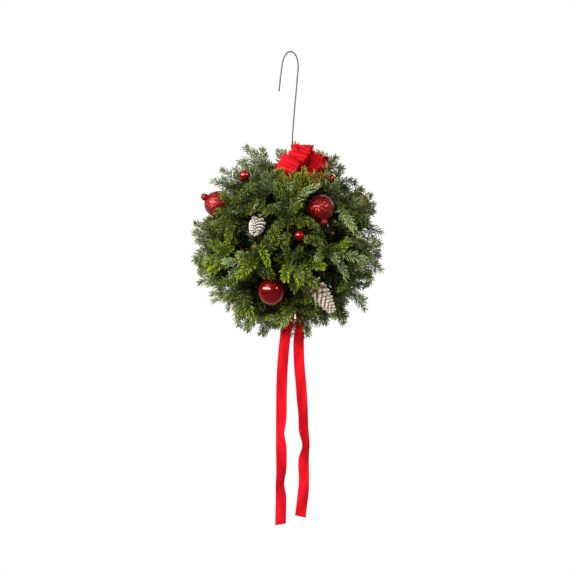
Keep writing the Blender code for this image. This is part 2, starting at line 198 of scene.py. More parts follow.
def closed_skins(rings, ends=None):
    """Corners, quads and triangles of closed skins. Rings are (skins, rings, points round, 3): neighbouring
    rings are joined by quads, and each end ring by triangles to its end point, its middle if not given."""
    skins, count, around, _ = rings.shape
    ends = rings[:, [0, -1]].mean(axis=2) if ends is None else ends
    here = np.arange(count * around).reshape(count, around)
    ahead = np.roll(here, -1, axis=1)
    quads = np.stack([here[:-1], ahead[:-1], ahead[1:], here[1:]], axis=-1).reshape(-1, 4)
    foot = np.full(around, count * around)
    fans = np.array([[ahead[0], here[0], foot], [here[-1], ahead[-1], foot + 1]])
    fans = fans.transpose(0, 2, 1).reshape(-1, 3)
    start = np.arange(skins)[:, None, None] * (count * around + 2)
    corners = np.concatenate([rings.reshape(skins, count * around, 3), ends], axis=1).reshape(-1, 3)
    return corners, (quads + start).reshape(-1, 4), (fans + start).reshape(-1, 3)


def piece(name, skins, looks, smooth=None, marks=None):
    """One object from several skins, each with its own look. Marks are named values for every corner."""
    starts = np.cumsum([0] + [len(skin[0]) for skin in skins])
    corners = np.concatenate([skin[0] for skin in skins])
    quads = [skin[1] + start for skin, start in zip(skins, starts)]
    fans = [skin[2] + start for skin, start in zip(skins, starts)]
    loops = np.concatenate([faces.ravel() for faces in quads + fans]).astype(np.int32)
    sizes = np.concatenate([np.full(len(faces), faces.shape[1]) for faces in quads + fans])
    numbers = [*range(len(skins))] * 2
    numbers = np.concatenate([np.full(len(faces), at) for faces, at in zip(quads + fans, numbers)])
    mesh = bpy.data.meshes.new(name)
    mesh.vertices.add(len(corners))
    mesh.vertices.foreach_set("co", corners.astype(np.float32).ravel())
    mesh.loops.add(len(loops))
    mesh.loops.foreach_set("vertex_index", loops)
    mesh.polygons.add(len(sizes))
    mesh.polygons.foreach_set("loop_start", (np.cumsum(sizes) - sizes).astype(np.int32))
    looks_used = list(dict.fromkeys(looks))
    for look in looks_used:
        mesh.materials.append(look)
    mesh.polygons.foreach_set("material_index", np.array([looks_used.index(look) for look in looks])[numbers])
    is_smooth = np.ones(len(skins), bool) if smooth is None else np.array(smooth)
    mesh.update(calc_edges=True)
    mesh.polygons.foreach_set("use_smooth", is_smooth[numbers])
    for mark, values in (marks or {}).items():
        mesh.attributes.new(mark, "FLOAT", "POINT").data.foreach_set("value", values.astype(np.float32))
    mesh.update()
    made = bpy.data.objects.new(name, mesh)
    bpy.context.scene.collection.objects.link(made)
    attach(made, "root")
    return made


def patchy_finish(name, sockets, patch, first, second, rough=None, grain=None):
    """A material of two colours in patches of (scale, low, high). Rough is its roughness in the low and high
    places, and grain the strength and height of the bumps that they make."""
    look, tree, shader = finish_of(name, sockets)
    mask = patch_mask_of(tree, *patch)
    feed(tree, shader, colour=two_colours(tree, mask, first, second))
    if rough:
        feed(tree, shader, roughness=graded(tree, mask, 0.0, 1.0, *rough))
    if grain:
        feed(tree, shader, normal=bump(tree, mask, *grain))
    return look


turn_angles = np.linspace(0, math.pi, 13)[1:]
turn_route = np.stack([SHANK_X + TURN_RADIUS * (1 - np.cos(turn_angles)),
                       TURN_Z - TURN_RADIUS * np.sin(turn_angles)], -1)
wire_route = np.concatenate([HOOK_ROUTE, turn_route, [(SHANK_X + 2 * TURN_RADIUS, TURN_END_Z)]])
wire_path = smooth_path(np.stack([wire_route[:, 0], 0 * wire_route[:, 0], wire_route[:, 1]], -1), 7)
wire_radii = np.full((1, len(wire_path)), WIRE_RADIUS)
wire_rings = tubes(wire_path[None], wire_radii, np.array([[0.0, 1.0, 0.0]]), 16)

wire_look = patchy_finish("galvanised_wire", {"Metallic": 0.8}, (160.0, 0.30, 0.70),
                          (0.080, 0.080, 0.083, 1), (0.115, 0.115, 0.120, 1), rough=(0.50, 0.42))
hanger_wire = piece("hanger", [closed_skins(wire_rings)], [wire_look])
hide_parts("hanger_wire")


# ---- Baubles ----
# Plastic balls on wire picks. Three are crusted with crushed red glass glitter and have a small bead below;
# the others, large and small, are blown smooth and lacquered red, with a crimped metal cap on the pick.

PICK_RADIUS = 0.0008
PICK_START = 0.055
BAUBLE_RADIUS = 0.0295
MINI_RADIUS = 0.0125
KNOB_RADIUS = 0.0085
CAP_RADIUS = 0.0050
# Shares of the cap's radius, and heights from the bauble's skin
CAP_PROFILE = (
    (0.50, -0.0042), (0.92, -0.0036), (1.00, -0.0020), (1.00, -0.0006), (1.10, 0.0012), (0.90, 0.0016),
)
# Radii of the collar between bauble and bead, and heights from the bead's middle
COLLAR_PROFILE = ((0.0050, -0.0085), (0.0062, -0.0070), (0.0048, -0.0050))
FRONT_BEAD = (0.22, -0.35, -0.91)
# Name, place from the ball's centre, kind
BAUBLES = (
    ("glitter_bauble_front", (0.0715, -0.1360, 0.0740), "glitter"),
    ("glitter_bauble_left", (-0.1540, -0.0350, 0.0850), "glitter"),
    ("glitter_bauble_back", (-0.0600, 0.1400, 0.0700), "glitter"),
    ("shiny_bauble_front", (-0.0360, -0.1350, -0.1060), "shiny"),
    ("shiny_bauble_right", (0.1520, 0.0550, 0.0860), "shiny"),
    ("shiny_bauble_back", (0.0500, 0.1380, -0.0950), "shiny"),
    ("mini_bauble_front", (0.0250, -0.1680, 0.0140), "mini"),
    ("mini_bauble_upper_left", (-0.0950, -0.0650, 0.1470), "mini"),
    ("mini_bauble_upper_right", (0.0920, -0.0850, 0.1390), "mini"),
    ("mini_bauble_back_left", (-0.1400, 0.0900, -0.0500), "mini"),
    ("mini_bauble_back_top", (0.0500, 0.0950, 0.1450), "mini"),
    ("mini_bauble_back_right", (0.0900, 0.1450, 0.0150), "mini"),
)
# A way that no piece points in
ASIDE = (0.31, 0.17, 0.93)


def square_to(way):
    """Two directions square to each way and to each other: U along way x ASIDE, and V = way x U."""
    first = unit(np.cross(way, ASIDE))
    return first, np.cross(way, first)


def turned_skin(profile, place, way, sides):
    """A profile of (radius, height) turned round an axis: p = place + h way + r (cos a U + sin a V)."""
    profile = np.asarray(profile, float)
    way = unit(np.asarray(way, float))
    ring = ring_of(circle(sides), *square_to(way))
    rings = np.asarray(place) + profile[:, 1, None, None] * way + profile[:, 0, None, None] * ring
    return closed_skins(rings[None])


def ball_profile(radius, rings):
    """Half a circle from pole to pole: r sin t, -r cos t."""
    turn = np.linspace(0.02, math.pi - 0.02, rings)
    return np.stack([radius * np.sin(turn), -radius * np.cos(turn)], -1)


def pick_skin(way, reach):
    """A straight wire from inside the foam out to this distance from the ball's centre."""
    return turned_skin([(PICK_RADIUS, PICK_START), (PICK_RADIUS, reach)], BALL_CENTRE, way, 8)


def cap_and_pick(name, place, radius):
    """The crimped cap against the ball, and the wire from the foam up into it."""
    neck = np.linalg.norm(place) - radius
    size = CAP_RADIUS * min(radius / BAUBLE_RADIUS * 1.5, 1.0)
    profile = [(share * size, neck + height) for share, height in CAP_PROFILE]
    cap = turned_skin(profile, BALL_CENTRE, place, 24)
    made = piece(name + "_pick", [cap, pick_skin(place, neck - 0.001)], [cap_look, wire_look], [False, True])
    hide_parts(name)


# Glitter: each chip of glass is a cell with its own tilt and its own red, and a few chips are painted bright
# orange-red as painted glints.
glitter_look, glitter_tree, glitter_shader = finish_of("crushed_glass_red", {
    "Metallic": 0.75, "Specular IOR Level": 0.6, "Coat Weight": 0.25, "Coat Roughness": 0.1})
glitter_place = node(glitter_tree, "TexCoord").outputs["Object"]
chips = node(glitter_tree, "TexVoronoi", {"Vector": glitter_place, "Scale": 760.0}).outputs["Color"]
chip_red = node(glitter_tree, "SeparateColor", {0: chips}).outputs
chip_colour = two_colours(glitter_tree, graded(glitter_tree, chip_red[0], 0.15, 0.95),
                          (0.10, 0.003, 0.003, 1), (0.62, 0.022, 0.020, 1))
# Painted glints: a few chips are given a bright orange-red.
chip_painted_glint = two_colours(glitter_tree, graded(glitter_tree, chip_red[1], 0.94, 0.98),
                       chip_colour, (0.80, 0.24, 0.18, 1))
chip_tilt = node(glitter_tree, "VectorMath", {0: chips, 1: (0.5, 0.5, 0.5)}, operation="SUBTRACT").outputs[0]
chip_lean = node(glitter_tree, "VectorMath", {0: chip_tilt, "Scale": 0.75}, operation="SCALE").outputs[0]
glitter_out = node(glitter_tree, "NewGeometry").outputs["Normal"]
chip_face = node(glitter_tree, "VectorMath", {0: glitter_out, 1: chip_lean}, operation="ADD").outputs[0]
chip_normal = node(glitter_tree, "VectorMath", {0: chip_face}, operation="NORMALIZE").outputs[0]
feed(glitter_tree, glitter_shader, colour=chip_painted_glint, normal=chip_normal,
     roughness=graded(glitter_tree, chip_red[2], 0.0, 1.0, 0.18, 0.42))

# Lacquer: a mirror-like red, clouded where the colour lies thinner.
shiny_look, shiny_tree, shiny_shader = finish_of(
    "red_lacquer", {"Metallic": 0.85, "Coat Weight": 0.7, "Coat Roughness": 0.04, "Coat IOR": 1.5})
shiny_cloud = patch_mask_of(shiny_tree, 110.0, 0.35, 0.65)
shiny_colour = two_colours(shiny_tree, shiny_cloud, (0.46, 0.008, 0.010, 1), (0.58, 0.016, 0.016, 1))
feed(shiny_tree, shiny_shader, colour=shiny_colour,
     roughness=graded(shiny_tree, shiny_cloud, 0, 1, 0.13, 0.20),
     normal=bump(shiny_tree, patch_mask_of(shiny_tree, 260.0, 0.3, 0.7), 0.10, 0.0006))

cap_look = patchy_finish("crimped_cap", {"Metallic": 1.0}, (500.0, 0.4, 0.6),
                         (0.50, 0.36, 0.16, 1), (0.62, 0.48, 0.24, 1), rough=(0.25, 0.40))

# Radius, points round it, look and slot
BAUBLE_KINDS = {
    "glitter": (BAUBLE_RADIUS, 64, glitter_look, "glitter_red"),
    "shiny": (BAUBLE_RADIUS, 64, shiny_look, "shiny_red"),
    "mini": (MINI_RADIUS, 32, shiny_look, "shiny_red"),
}
for bauble_name, bauble_place, bauble_kind in BAUBLES:
    bauble_radius, bauble_sides, bauble_look, bauble_slot = BAUBLE_KINDS[bauble_kind]
    bauble_middle = BALL_CENTRE + bauble_place
    bauble_profile = ball_profile(bauble_radius, bauble_sides // 2)
    bauble_skins = [turned_skin(bauble_profile, bauble_middle, bauble_place, bauble_sides)]
    if bauble_kind == "glitter":
        bead_way = unit(np.array(FRONT_BEAD if bauble_name.endswith("front") else bauble_place))
        bead_middle = bauble_middle + bead_way * (BAUBLE_RADIUS + 0.4 * KNOB_RADIUS)
        bauble_skins += [turned_skin(ball_profile(KNOB_RADIUS, 18), bead_middle, bead_way, 32),
                         turned_skin(COLLAR_PROFILE, bead_middle, bead_way, 24)]
    bauble = piece(bauble_name + "_ball", bauble_skins, [bauble_look] * len(bauble_skins))
    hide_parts(bauble_name)
    cap_and_pick(bauble_name, bauble_place, bauble_radius)


# ---- Cones ----
# Natural pine cones with a whitewash over their scales, each wired to a pick. The woody scales stand in
# spirals round the core, thin where they leave it and blunt at the end that the wash has reached.

# Length, radius, number of scales, how far down them the wash reaches, and how thick it lies
SMALL_CONE = (0.060, 0.0190, 74, 1.00, 0.90)
LARGE_CONE = (0.086, 0.0215, 92, 0.96, 0.15)
# Name, place of the base, point that it faces, kind
CONES = (
    ("small_cone_front", (-0.0620, -0.1330, 0.0500), (-0.0740, -0.1880, 0.0180), SMALL_CONE),
    ("large_cone_front", (0.0535, -0.1350, -0.0835), (0.0965, -0.1050, -0.1490), LARGE_CONE),
    ("small_cone_back", (0.0100, 0.1430, 0.0100), (0.0200, 0.2000, 0.0100), SMALL_CONE),
    ("large_cone_back", (-0.0750, 0.1200, -0.0800), (-0.1200, 0.1050, -0.1500), LARGE_CONE),
)
SCALE_SEED = 11
# Along a scale, from its foot: shares of its reach, and of its width and thickness, which end blunt
SCALE_PARTS = np.array([0.05, 0.35, 0.62, 0.82, 0.95, 1.0])
SCALE_WIDTHS = np.array([0.90, 0.92, 1.00, 1.06, 0.86, 0.30])
SCALE_DEPTHS = np.array([1, 1, 1, 1, 0.80, 0.15])
GOLDEN_TURN = math.pi * (3 - math.sqrt(5))


def scale_skins(base, way, length, radius, count):
    """Scales on a spiral. Scale k, at share s = (k + 0.5) / n, stands at height L (0.02 + 0.90 s^0.92) and
    turn k times the golden angle, and reaches out R (0.15 + 0.85 (1 - s^1.6)^0.6), less at the base. At share
    a of it the scale has gone forwards by 0.85 a^1.5 of its reach, more at the tip and backwards at the base.
    Its section is a cupped oval of half width W a^0.5 and half thickness 0.4 mm + 2.3 mm a^2.5."""
    chance = np.random.default_rng(SCALE_SEED)
    order = np.arange(count)
    share = (order + 0.5) / count
    height = length * (0.02 + 0.90 * share**0.92)
    near_base = np.exp(-share / 0.05)
    shape = (0.15 + 0.85 * (1 - share**1.6) ** 0.6) * (1 - 0.25 * near_base)
    reach = (radius * shape * chance.uniform(0.94, 1.04, count))[:, None]
    out = ring_of(order * GOLDEN_TURN, *square_to(way))
    side = np.cross(way, out)
    half_width = 2.0 * radius / math.sqrt(count) * shape[:, None] ** 0.8 * SCALE_PARTS**0.5 * SCALE_WIDTHS
    half_thick = (0.0004 + 0.0023 * SCALE_PARTS**2.5) * SCALE_DEPTHS
    forwards = (0.85 + 0.8 * share**6 - 1.5 * near_base)[:, None] * reach * SCALE_PARTS**1.5
    line = (base + height[:, None, None] * way + (reach * SCALE_PARTS)[..., None] * out[:, None]
            + forwards[..., None] * way)
    thick = unit(np.cross(unit(np.gradient(line, axis=1)), side[:, None]))
    angle = circle(8)
    cup = 0.25 * half_width[..., None] * np.cos(angle) ** 2
    rings = (line[:, :, None] + half_width[..., None, None] * np.cos(angle)[:, None] * side[:, None, None]
             + (half_thick[None, :, None] * np.sin(angle) + cup)[..., None] * thick[:, :, None])
    marks = np.concatenate([np.repeat(SCALE_PARTS, 8), SCALE_PARTS[[0, -1]]])
    return closed_skins(rings), np.tile(marks, count)


cone_look, cone_tree, cone_shader = finish_of(
    "whitewashed_cone", {"Roughness": 0.88, "Specular IOR Level": 0.25})
cone_grain = patch_mask_of(cone_tree, 420.0, 0.30, 0.70, 4.0)
wash_edge = mathed(cone_tree, "ADD", mark_of(cone_tree, "outwards"),
                   graded(cone_tree, cone_grain, 0, 1, -0.12, 0.12))
wash_share = graded(cone_tree, wash_edge, 0.52, 0.84)
wood_colour = two_colours(cone_tree, cone_grain, (0.075, 0.030, 0.014, 1), (0.20, 0.105, 0.055, 1))
thick_wash = two_colours(cone_tree, cone_grain, (0.53, 0.47, 0.39, 1), (0.78, 0.75, 0.69, 1))
thin_wash = two_colours(cone_tree, cone_grain, (0.80, 0.61, 0.47, 1), (0.97, 0.84, 0.72, 1))
wash_colour = two_colours(cone_tree, mark_of(cone_tree, "wash"), thin_wash, thick_wash)
feed(cone_tree, cone_shader, colour=two_colours(cone_tree, wash_share, wood_colour, wash_colour),
     normal=bump(cone_tree, cone_grain, 0.5, 0.0008))

# The core is a spindle just inside the scales.
core_share = np.linspace(0, 1, 9)
core_radius = 0.55 * np.sin(math.pi * (0.12 + 0.875 * core_share)) ** 0.8
core_height = 0.01 + 0.93 * core_share
for cone_name, cone_base, cone_faces, cone_kind in CONES:
    cone_length, cone_radius, scale_count, wash_reach, wash_depth = cone_kind
    cone_way = unit(np.array(cone_faces) - cone_base)
    cone_foot = BALL_CENTRE + cone_base
    core_profile = np.stack([core_radius * cone_radius, core_height * cone_length], -1)
    core = turned_skin(core_profile, cone_foot, cone_way, 16)
    scales, scale_marks = scale_skins(cone_foot, cone_way, cone_length, cone_radius, scale_count)
    cone = piece(cone_name + "_scales", [core, scales], [cone_look] * 2,
                 marks={"outwards": np.concatenate([np.full(len(core[0]), 0.15), scale_marks * wash_reach]),
                        "wash": np.full(len(core[0]) + len(scale_marks), wash_depth)})
    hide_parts(cone_name)
    pick_reach = np.linalg.norm(cone_base) + 0.004
    cone_pick = piece(cone_name + "_pick", [pick_skin(cone_base, pick_reach)], [wire_look])
    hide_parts(cone_name)


# ---- Bow ----
# A full bow of red poly ribbon, 57 mm wide: eight loops, pleated lengthwise and drawn together in the
# middle by a tie wire, whose tail is the pick that holds the bow in the foam.

BOW_PLACE = np.array([0.033, -0.118, 0.150])
BOW_FACING = unit(np.array([0.10, -0.82, 0.56]))
BOW_WIDTH = 0.057
# Loops in the bow's own frame (right, up, forwards), from the middle: where the far edge is folded, where the
# upper run crests before it dives back, and the ribbon's way across: its turn in the plane and tilt forwards
LOOPS = (
    ((-0.0538, 0.0208, 0.010), (-0.0180, -0.0130, 0.034), 64, 10),
    ((-0.0290, 0.0450, 0.012), (0.0040, 0.0200, 0.037), 60, 12),
    ((0.0020, 0.0670, 0.010), (0.0040, 0.0440, 0.029), -3, 2),
    ((0.0370, 0.0430, 0.010), (0.0280, 0.0270, 0.031), -38, 10),
    ((0.0510, 0.0240, 0.008), (0.0320, 0.0090, 0.030), -66, 10),
    ((0.0400, -0.0160, -0.006), (0.0190, -0.0060, 0.014), -120, 4),
    ((0.0020, -0.0300, -0.012), (0.0040, -0.0140, 0.004), 180, 6),
    ((-0.0420, -0.0270, 0.004), (-0.0150, -0.0150, 0.024), 125, 2),
)
PLEATS = 4.0
PLEAT_DEPTHS = (0.0050, 0.0005)
HUB_RADIUS = 0.006
HUB_HALF = 0.009
CLOTH_THICKNESS = 0.0004


def bell(value, middle, spread):
    """exp(-((value - middle) / spread)^2)."""
    return np.exp(-(((value - middle) / spread) ** 2))


def level_frame(way):
    """Two directions square to way and to each other: U along Z x way, which is level, and V = way x U."""
    first = unit(np.cross((0.0, 0.0, 1.0), way))
    return first, np.cross(way, first)


def cloth(name, grids, lengths, width, look, marks=None):
    """Open sheets of quads on grids (sheets, rows, points across, 3), made thick afterwards. Their UV map is
    in metres: across the ribbon, and along it."""
    sheets, rows, across, _ = grids.shape
    here = np.arange(rows * across).reshape(rows, across)
    quads = np.stack([here[:-1, :-1], here[:-1, 1:], here[1:, 1:], here[1:, :-1]], axis=-1).reshape(-1, 4)
    start = np.arange(sheets)[:, None, None] * rows * across
    faces = (quads + start).reshape(-1, 4)
    made = piece(name, [(grids.reshape(-1, 3), faces, np.zeros((0, 3), int))], [look], marks=marks)
    over = np.broadcast_to(np.linspace(0, width, across), (sheets, rows, across))
    along = np.broadcast_to(lengths[:, :, None], (sheets, rows, across))
    places = np.stack([over, along], axis=-1).reshape(-1, 2)
    layer = made.data.uv_layers.new(name="ribbon")
    layer.data.foreach_set("uv", places[faces.ravel()].astype(np.float32).ravel())
    wall = made.modifiers.new("cloth", "SOLIDIFY")
    wall.thickness = CLOTH_THICKNESS
    wall.offset = 0.0
    return made


def creased(value):
    """Broad round folds with a narrow deep crease at each whole number, u the distance to the nearest one:
    0.4 - 0.2 cos(2 pi u) - e^-((u / 0.23)^2)."""
    apart = value - np.round(value)
    return 0.4 - 0.2 * np.cos(2 * math.pi * apart) - bell(apart, 0.0, 0.23)


def bow_grids():
    """Each loop's middle line is a smooth path from the middle out below, round its far fold F, up to its
    crest C and back down. Across it the cloth goes as w v S, with creases d creased(4 v) square to it, which
    wander a little and fade at the fold. Returns the grids, the lengths along them and the creases' depth."""
    folds = np.array([fold for fold, _, _, _ in LOOPS])
    crests = np.array([crest for _, crest, _, _ in LOOPS])
    # Shares of the fold and of the crest in each point's place, its rise over those, and the width there
    route = np.array([
        (0.06, 0.00, -0.0020, 0.009), (0.30, 0.00, -0.0080, 0.024), (0.65, 0.00, -0.0110, 0.038),
        (0.93, 0.00, -0.0070, 0.045), (1.00, 0.00, 0.0000, 0.047), (0.93, 0.07, 0.0050, 0.047),
        (0.62, 0.38, 0.0050, 0.045), (0.27, 0.73, 0.0035, 0.041), (0.02, 0.98, 0.0005, 0.036),
        (0.00, 0.82, 0.0000, 0.031), (0.00, 0.45, 0.0000, 0.020), (0.00, 0.12, 0.0000, 0.010),
    ])
    points = route[:, 0, None] * folds[:, None] + route[:, 1, None] * crests[:, None]
    points[..., 2] += route[:, 2]
    axes = np.stack([*level_frame(BOW_FACING), BOW_FACING])
    middle = np.array([smooth_path(loop, 5) for loop in points]) @ axes
    part = np.linspace(0, 1, middle.shape[1])
    width = np.interp(part, np.linspace(0, 1, len(route)), route[:, 3])[:, None]
    turn, tilt = np.radians(np.array([(turn, tilt) for _, _, turn, tilt in LOOPS])).T
    way = np.stack([np.cos(turn) * np.cos(tilt), np.sin(turn) * np.cos(tilt), np.sin(tilt)], axis=-1) @ axes
    ahead = unit(np.gradient(middle, axis=1))
    side = unit(way[:, None] - 0.75 * (way[:, None] * ahead).sum(axis=2, keepdims=True) * ahead)
    face = unit(np.cross(side, ahead))
    depth = (PLEAT_DEPTHS[0] + (PLEAT_DEPTHS[1] - PLEAT_DEPTHS[0]) * bell(part, 0.44, 0.10))[:, None]
    over = np.linspace(-0.5, 0.5, 45)
    number = np.arange(len(LOOPS))[:, None, None]
    pleat = creased(PLEATS * over + 0.5 + 0.21 * number + 0.15 * np.sin(9 * over + 2 * number)
                    + 0.08 * np.sin(4 * part[:, None] + number))
    rows = (middle[:, :, None] + (width * over)[..., None] * side[:, :, None]
            + (depth * pleat)[..., None] * face[:, :, None])
    length = np.linalg.norm(np.diff(middle, axis=1), axis=2).cumsum(axis=1)
    # How deep each point lies in a crease; the ribbon's colour darkens with it as painted shade.
    crease = np.clip(-1.3 * pleat, 0, 1) * depth / PLEAT_DEPTHS[0]
    return BALL_CENTRE + BOW_PLACE + rows, np.concatenate([0 * length[:, :1], length], axis=1), crease


# Poly ribbon: fine ribs across it, a soft sheen, and a little fading. The tails, the same ribbon as the bow,
# are painted a shade brighter than the bow to even out the key light, which falls more fully on the bow:
# painted light and shade.
ribbon_look, ribbon_tree, ribbon_shader = finish_of(
    "poly_ribbon_red", {"Roughness": 0.70, "Specular IOR Level": 0.08})
ribbon_uv = node(ribbon_tree, "UVMap", uv_map="ribbon").outputs[0]
ribs, warp = (
    node(ribbon_tree, "TexWave", {"Vector": ribbon_uv, "Scale": scale, "Distortion": 0.3},
         wave_type="BANDS", bands_direction=direction).outputs["Fac"]
    for scale, direction in ((380.0, "Y"), (240.0, "X")))
weave = mathed(ribbon_tree, "MULTIPLY", ribs, warp)
ribbon_faded = patch_mask_of(ribbon_tree, 45.0, 0.35, 0.65)
# Painted light and shade: one ribbon, given a darker red on the bow and a brighter red on the tails.
bow_red_painted_darker = two_colours(ribbon_tree, ribbon_faded, (0.51, 0.005, 0.011, 1), (0.57, 0.007, 0.013, 1))
tail_red_painted_brighter = two_colours(ribbon_tree, ribbon_faded, (0.60, 0.002, 0.010, 1), (0.66, 0.003, 0.012, 1))
ribbon_ground = two_colours(ribbon_tree, mark_of(ribbon_tree, "hanging"), bow_red_painted_darker, tail_red_painted_brighter)
ribbon_thread = two_colours(ribbon_tree, graded(ribbon_tree, weave, 0, 1, 0.0, 0.35),
                            ribbon_ground, (0.66, 0.013, 0.019, 1))
# The creases of the pleated loops are painted dark red: painted shade where the folds hide each other from
# the light.
crease_painted_shade = graded(ribbon_tree, mark_of(ribbon_tree, "crease"), 0, 1, 0.0, 0.65)
ribbon_colour = two_colours(ribbon_tree, crease_painted_shade, ribbon_thread, (0.22, 0.001, 0.003, 1))
feed(ribbon_tree, ribbon_shader, colour=ribbon_colour, normal=bump(ribbon_tree, weave, 0.25, 0.0002))

loop_grids, loop_lengths, loop_creases = bow_grids()
bow = cloth("bow_loops", loop_grids, loop_lengths, BOW_WIDTH, ribbon_look, {"crease": loop_creases.ravel()})
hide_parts("bow")

# The knot: a short drum, ribbed by the gathers that the tie wire draws in.
hub_share = np.linspace(-1, 1, 9)[:, None]
hub_turn = circle(64)
hub_round = ring_of(hub_turn, *level_frame(BOW_FACING))
hub_radius = ((HUB_RADIUS * (0.80 + 0.16 * hub_share**2) + 0.0005 * np.cos(16 * hub_turn))
              * np.sqrt(np.clip(1.08 - hub_share**8, 0.1, 1)))
hub_rings = (BALL_CENTRE + BOW_PLACE + HUB_HALF * hub_share[..., None] * BOW_FACING
             + hub_radius[..., None] * hub_round)
bow_knot = piece("bow_middle", [closed_skins(hub_rings[None])], [ribbon_look])
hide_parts("bow")

# The tie wire: a ring round the back of the knot, and its tail from there to the foam.
tie_centre = BOW_PLACE - BOW_FACING * (HUB_HALF - 2 * PICK_RADIUS)
tie_radius = HUB_RADIUS + 0.0003 + PICK_RADIUS
tie_small = circle(10)
tie_grid = (BALL_CENTRE + tie_centre
            + (tie_radius + PICK_RADIUS * np.cos(tie_small))[:, None, None] * hub_round
            + (PICK_RADIUS * np.sin(tie_small))[:, None, None] * BOW_FACING)
tie_here = np.arange(len(tie_small) * len(hub_turn)).reshape(len(tie_small), len(hub_turn))
tie_up, tie_ahead = np.roll(tie_here, -1, axis=0), np.roll(tie_here, -1, axis=1)
tie_faces = np.stack([tie_here, tie_ahead, np.roll(tie_up, -1, axis=1), tie_up], axis=-1).reshape(-1, 4)
tie_inwards = -unit(tie_centre)
tie_towards = unit(tie_inwards - tie_inwards @ BOW_FACING * BOW_FACING)
pick_top = tie_centre + tie_towards * tie_radius
tie_skins = [(tie_grid.reshape(-1, 3), tie_faces, np.zeros((0, 3), int)),
             pick_skin(pick_top, np.linalg.norm(pick_top))]
tie_wire = piece("bow_tie", tie_skins, [wire_look] * 2)
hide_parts("bow_wire")


# ---- Tails ----
# One length of the same ribbon, cut narrower, drawn together and folded over the turn of the hanger wire
# below the foam. Both ends hang free, ripple a little, and are cut off slightly askew.

TAIL_WIDTH = 0.0235
FOLD_WIDTH = 0.0050
FOLD_Z = -(FOAM_RADIUS + TURN_DROP + TURN_RADIUS)
FOLD_X = SHANK_X + TURN_RADIUS - BALL_CENTRE[0]
FOLD_RADIUS = WIRE_RADIUS + 0.0005 + 0.0005
LEFT_TAIL = (
    (0.0120, -0.0060, -0.1200), (0.0060, -0.0240, -0.1550), (-0.0033, -0.0380, -0.1890),
    (-0.0110, -0.0420, -0.2550), (-0.0140, -0.0400, -0.3190), (-0.0145, -0.0410, -0.3830),
    (-0.0145, -0.0430, -0.4640), (-0.0145, -0.0420, -0.5400), (-0.0165, -0.0440, -0.6170),
)
RIGHT_TAIL = (
    (0.0200, 0.0040, -0.1200), (0.0220, -0.0120, -0.1550), (0.0230, -0.0300, -0.1890),
    (0.0240, -0.0360, -0.2550), (0.0290, -0.0370, -0.3190), (0.0325, -0.0390, -0.3830),
    (0.0340, -0.0370, -0.4640), (0.0335, -0.0390, -0.5400), (0.0270, -0.0400, -0.6000),
)
# Where a tail turns its face away: (distance below the fold, turn in degrees, length over which it turns)
LEFT_TURNS = ((0.050, 25, 0.030), (0.318, -38, 0.026), (0.430, 40, 0.030))
RIGHT_TURNS = ((0.070, 42, 0.045), (0.280, 22, 0.030), (0.344, 58, 0.030), (0.420, -20, 0.030))


def tail_grid():
    """The middle line runs up the left end, over the wire and down the right end. Across it the cloth goes
    as w v (cos a, sin a, 0), where the turn a is a sum of bells down the tail. It is gathered at the fold,
    ripples square to itself as it opens, and is cut askew. Returns the grid and the lengths along it."""
    turn = np.linspace(0, math.pi, 9)
    fold = np.stack([FOLD_X + 0 * turn, -FOLD_RADIUS * np.cos(turn), FOLD_Z + FOLD_RADIUS * np.sin(turn)], -1)
    line = smooth_path(np.concatenate([LEFT_TAIL[::-1], fold, RIGHT_TAIL]), 12)
    length = np.concatenate([[0], np.linalg.norm(np.diff(line, axis=0), axis=1).cumsum()])
    at = np.linspace(0, length[-1], 361)
    line = np.stack([np.interp(at, length, line[:, axis]) for axis in range(3)], axis=-1)
    is_left = at < at[np.argmax(line[:, 2])]
    drop = np.maximum(FOLD_Z - line[:, 2], 0)
    turned = np.where(is_left, *(
        sum(math.radians(degrees) * bell(drop, low, spread) for low, degrees, spread in turns)
        for turns in (LEFT_TURNS, RIGHT_TURNS)))
    opened = np.clip(drop / 0.065, 0, 1) ** 0.8
    width = FOLD_WIDTH + (TAIL_WIDTH - FOLD_WIDTH) * opened
    over = np.linspace(-0.5, 0.5, 13)
    across = np.stack([np.cos(turned), np.sin(turned), 0 * turned], axis=-1)
    ahead = unit(np.gradient(line, axis=0))
    face = unit(np.cross(across, ahead))
    gather = 0.0013 * (1 - opened)[:, None] * creased(2.5 * over)
    ripple = opened[:, None] * (0.0030 * np.sin(31 * at + np.where(is_left, 0.4, 2.0))[:, None] * over * 1.2
                               + 0.0009 * np.sin(74 * at[:, None] + 5 * over)
                               + 0.0016 * np.cos(math.pi * over * 1.4) * np.sin(17 * at + 1)[:, None])
    skew = np.where(is_left, 0.0042, 0.0066) * np.clip((drop - 0.36) / 0.15, 0, 1) ** 2
    rows = (line[:, None] + (width[:, None] * over)[..., None] * across[:, None]
            + (gather + ripple)[..., None] * face[:, None])
    # Each end turns about its outer edge.
    rows[..., 0] += (np.where(is_left, -0.5, 0.5) * width * opened * (1 - np.cos(turned)))[:, None]
    rows[..., 2] += np.where(is_left[:, None], 1, -1) * skew[:, None] * over
    return BALL_CENTRE + rows[None], at[None]


tail_rows, tail_lengths = tail_grid()
tails = cloth("ribbon_tails", tail_rows, tail_lengths, TAIL_WIDTH, ribbon_look,
              {"hanging": np.ones(tail_rows[..., 0].size)})
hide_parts("tail_ribbon")


# ---- Fir sprays ----
# Cut tips of fir, pushed into the foam all round until it can't be seen: a woody stem with a leader, side
# shoots, short shoots that fill in below, and long ones that arch over the neighbours. All are ringed with
# flat blunt needles, green above with two pale bands below, swept towards the tip. Some end in small buds.

SPRAY_COUNT = 38
SEED = 7
SECOND_SEED = 1000
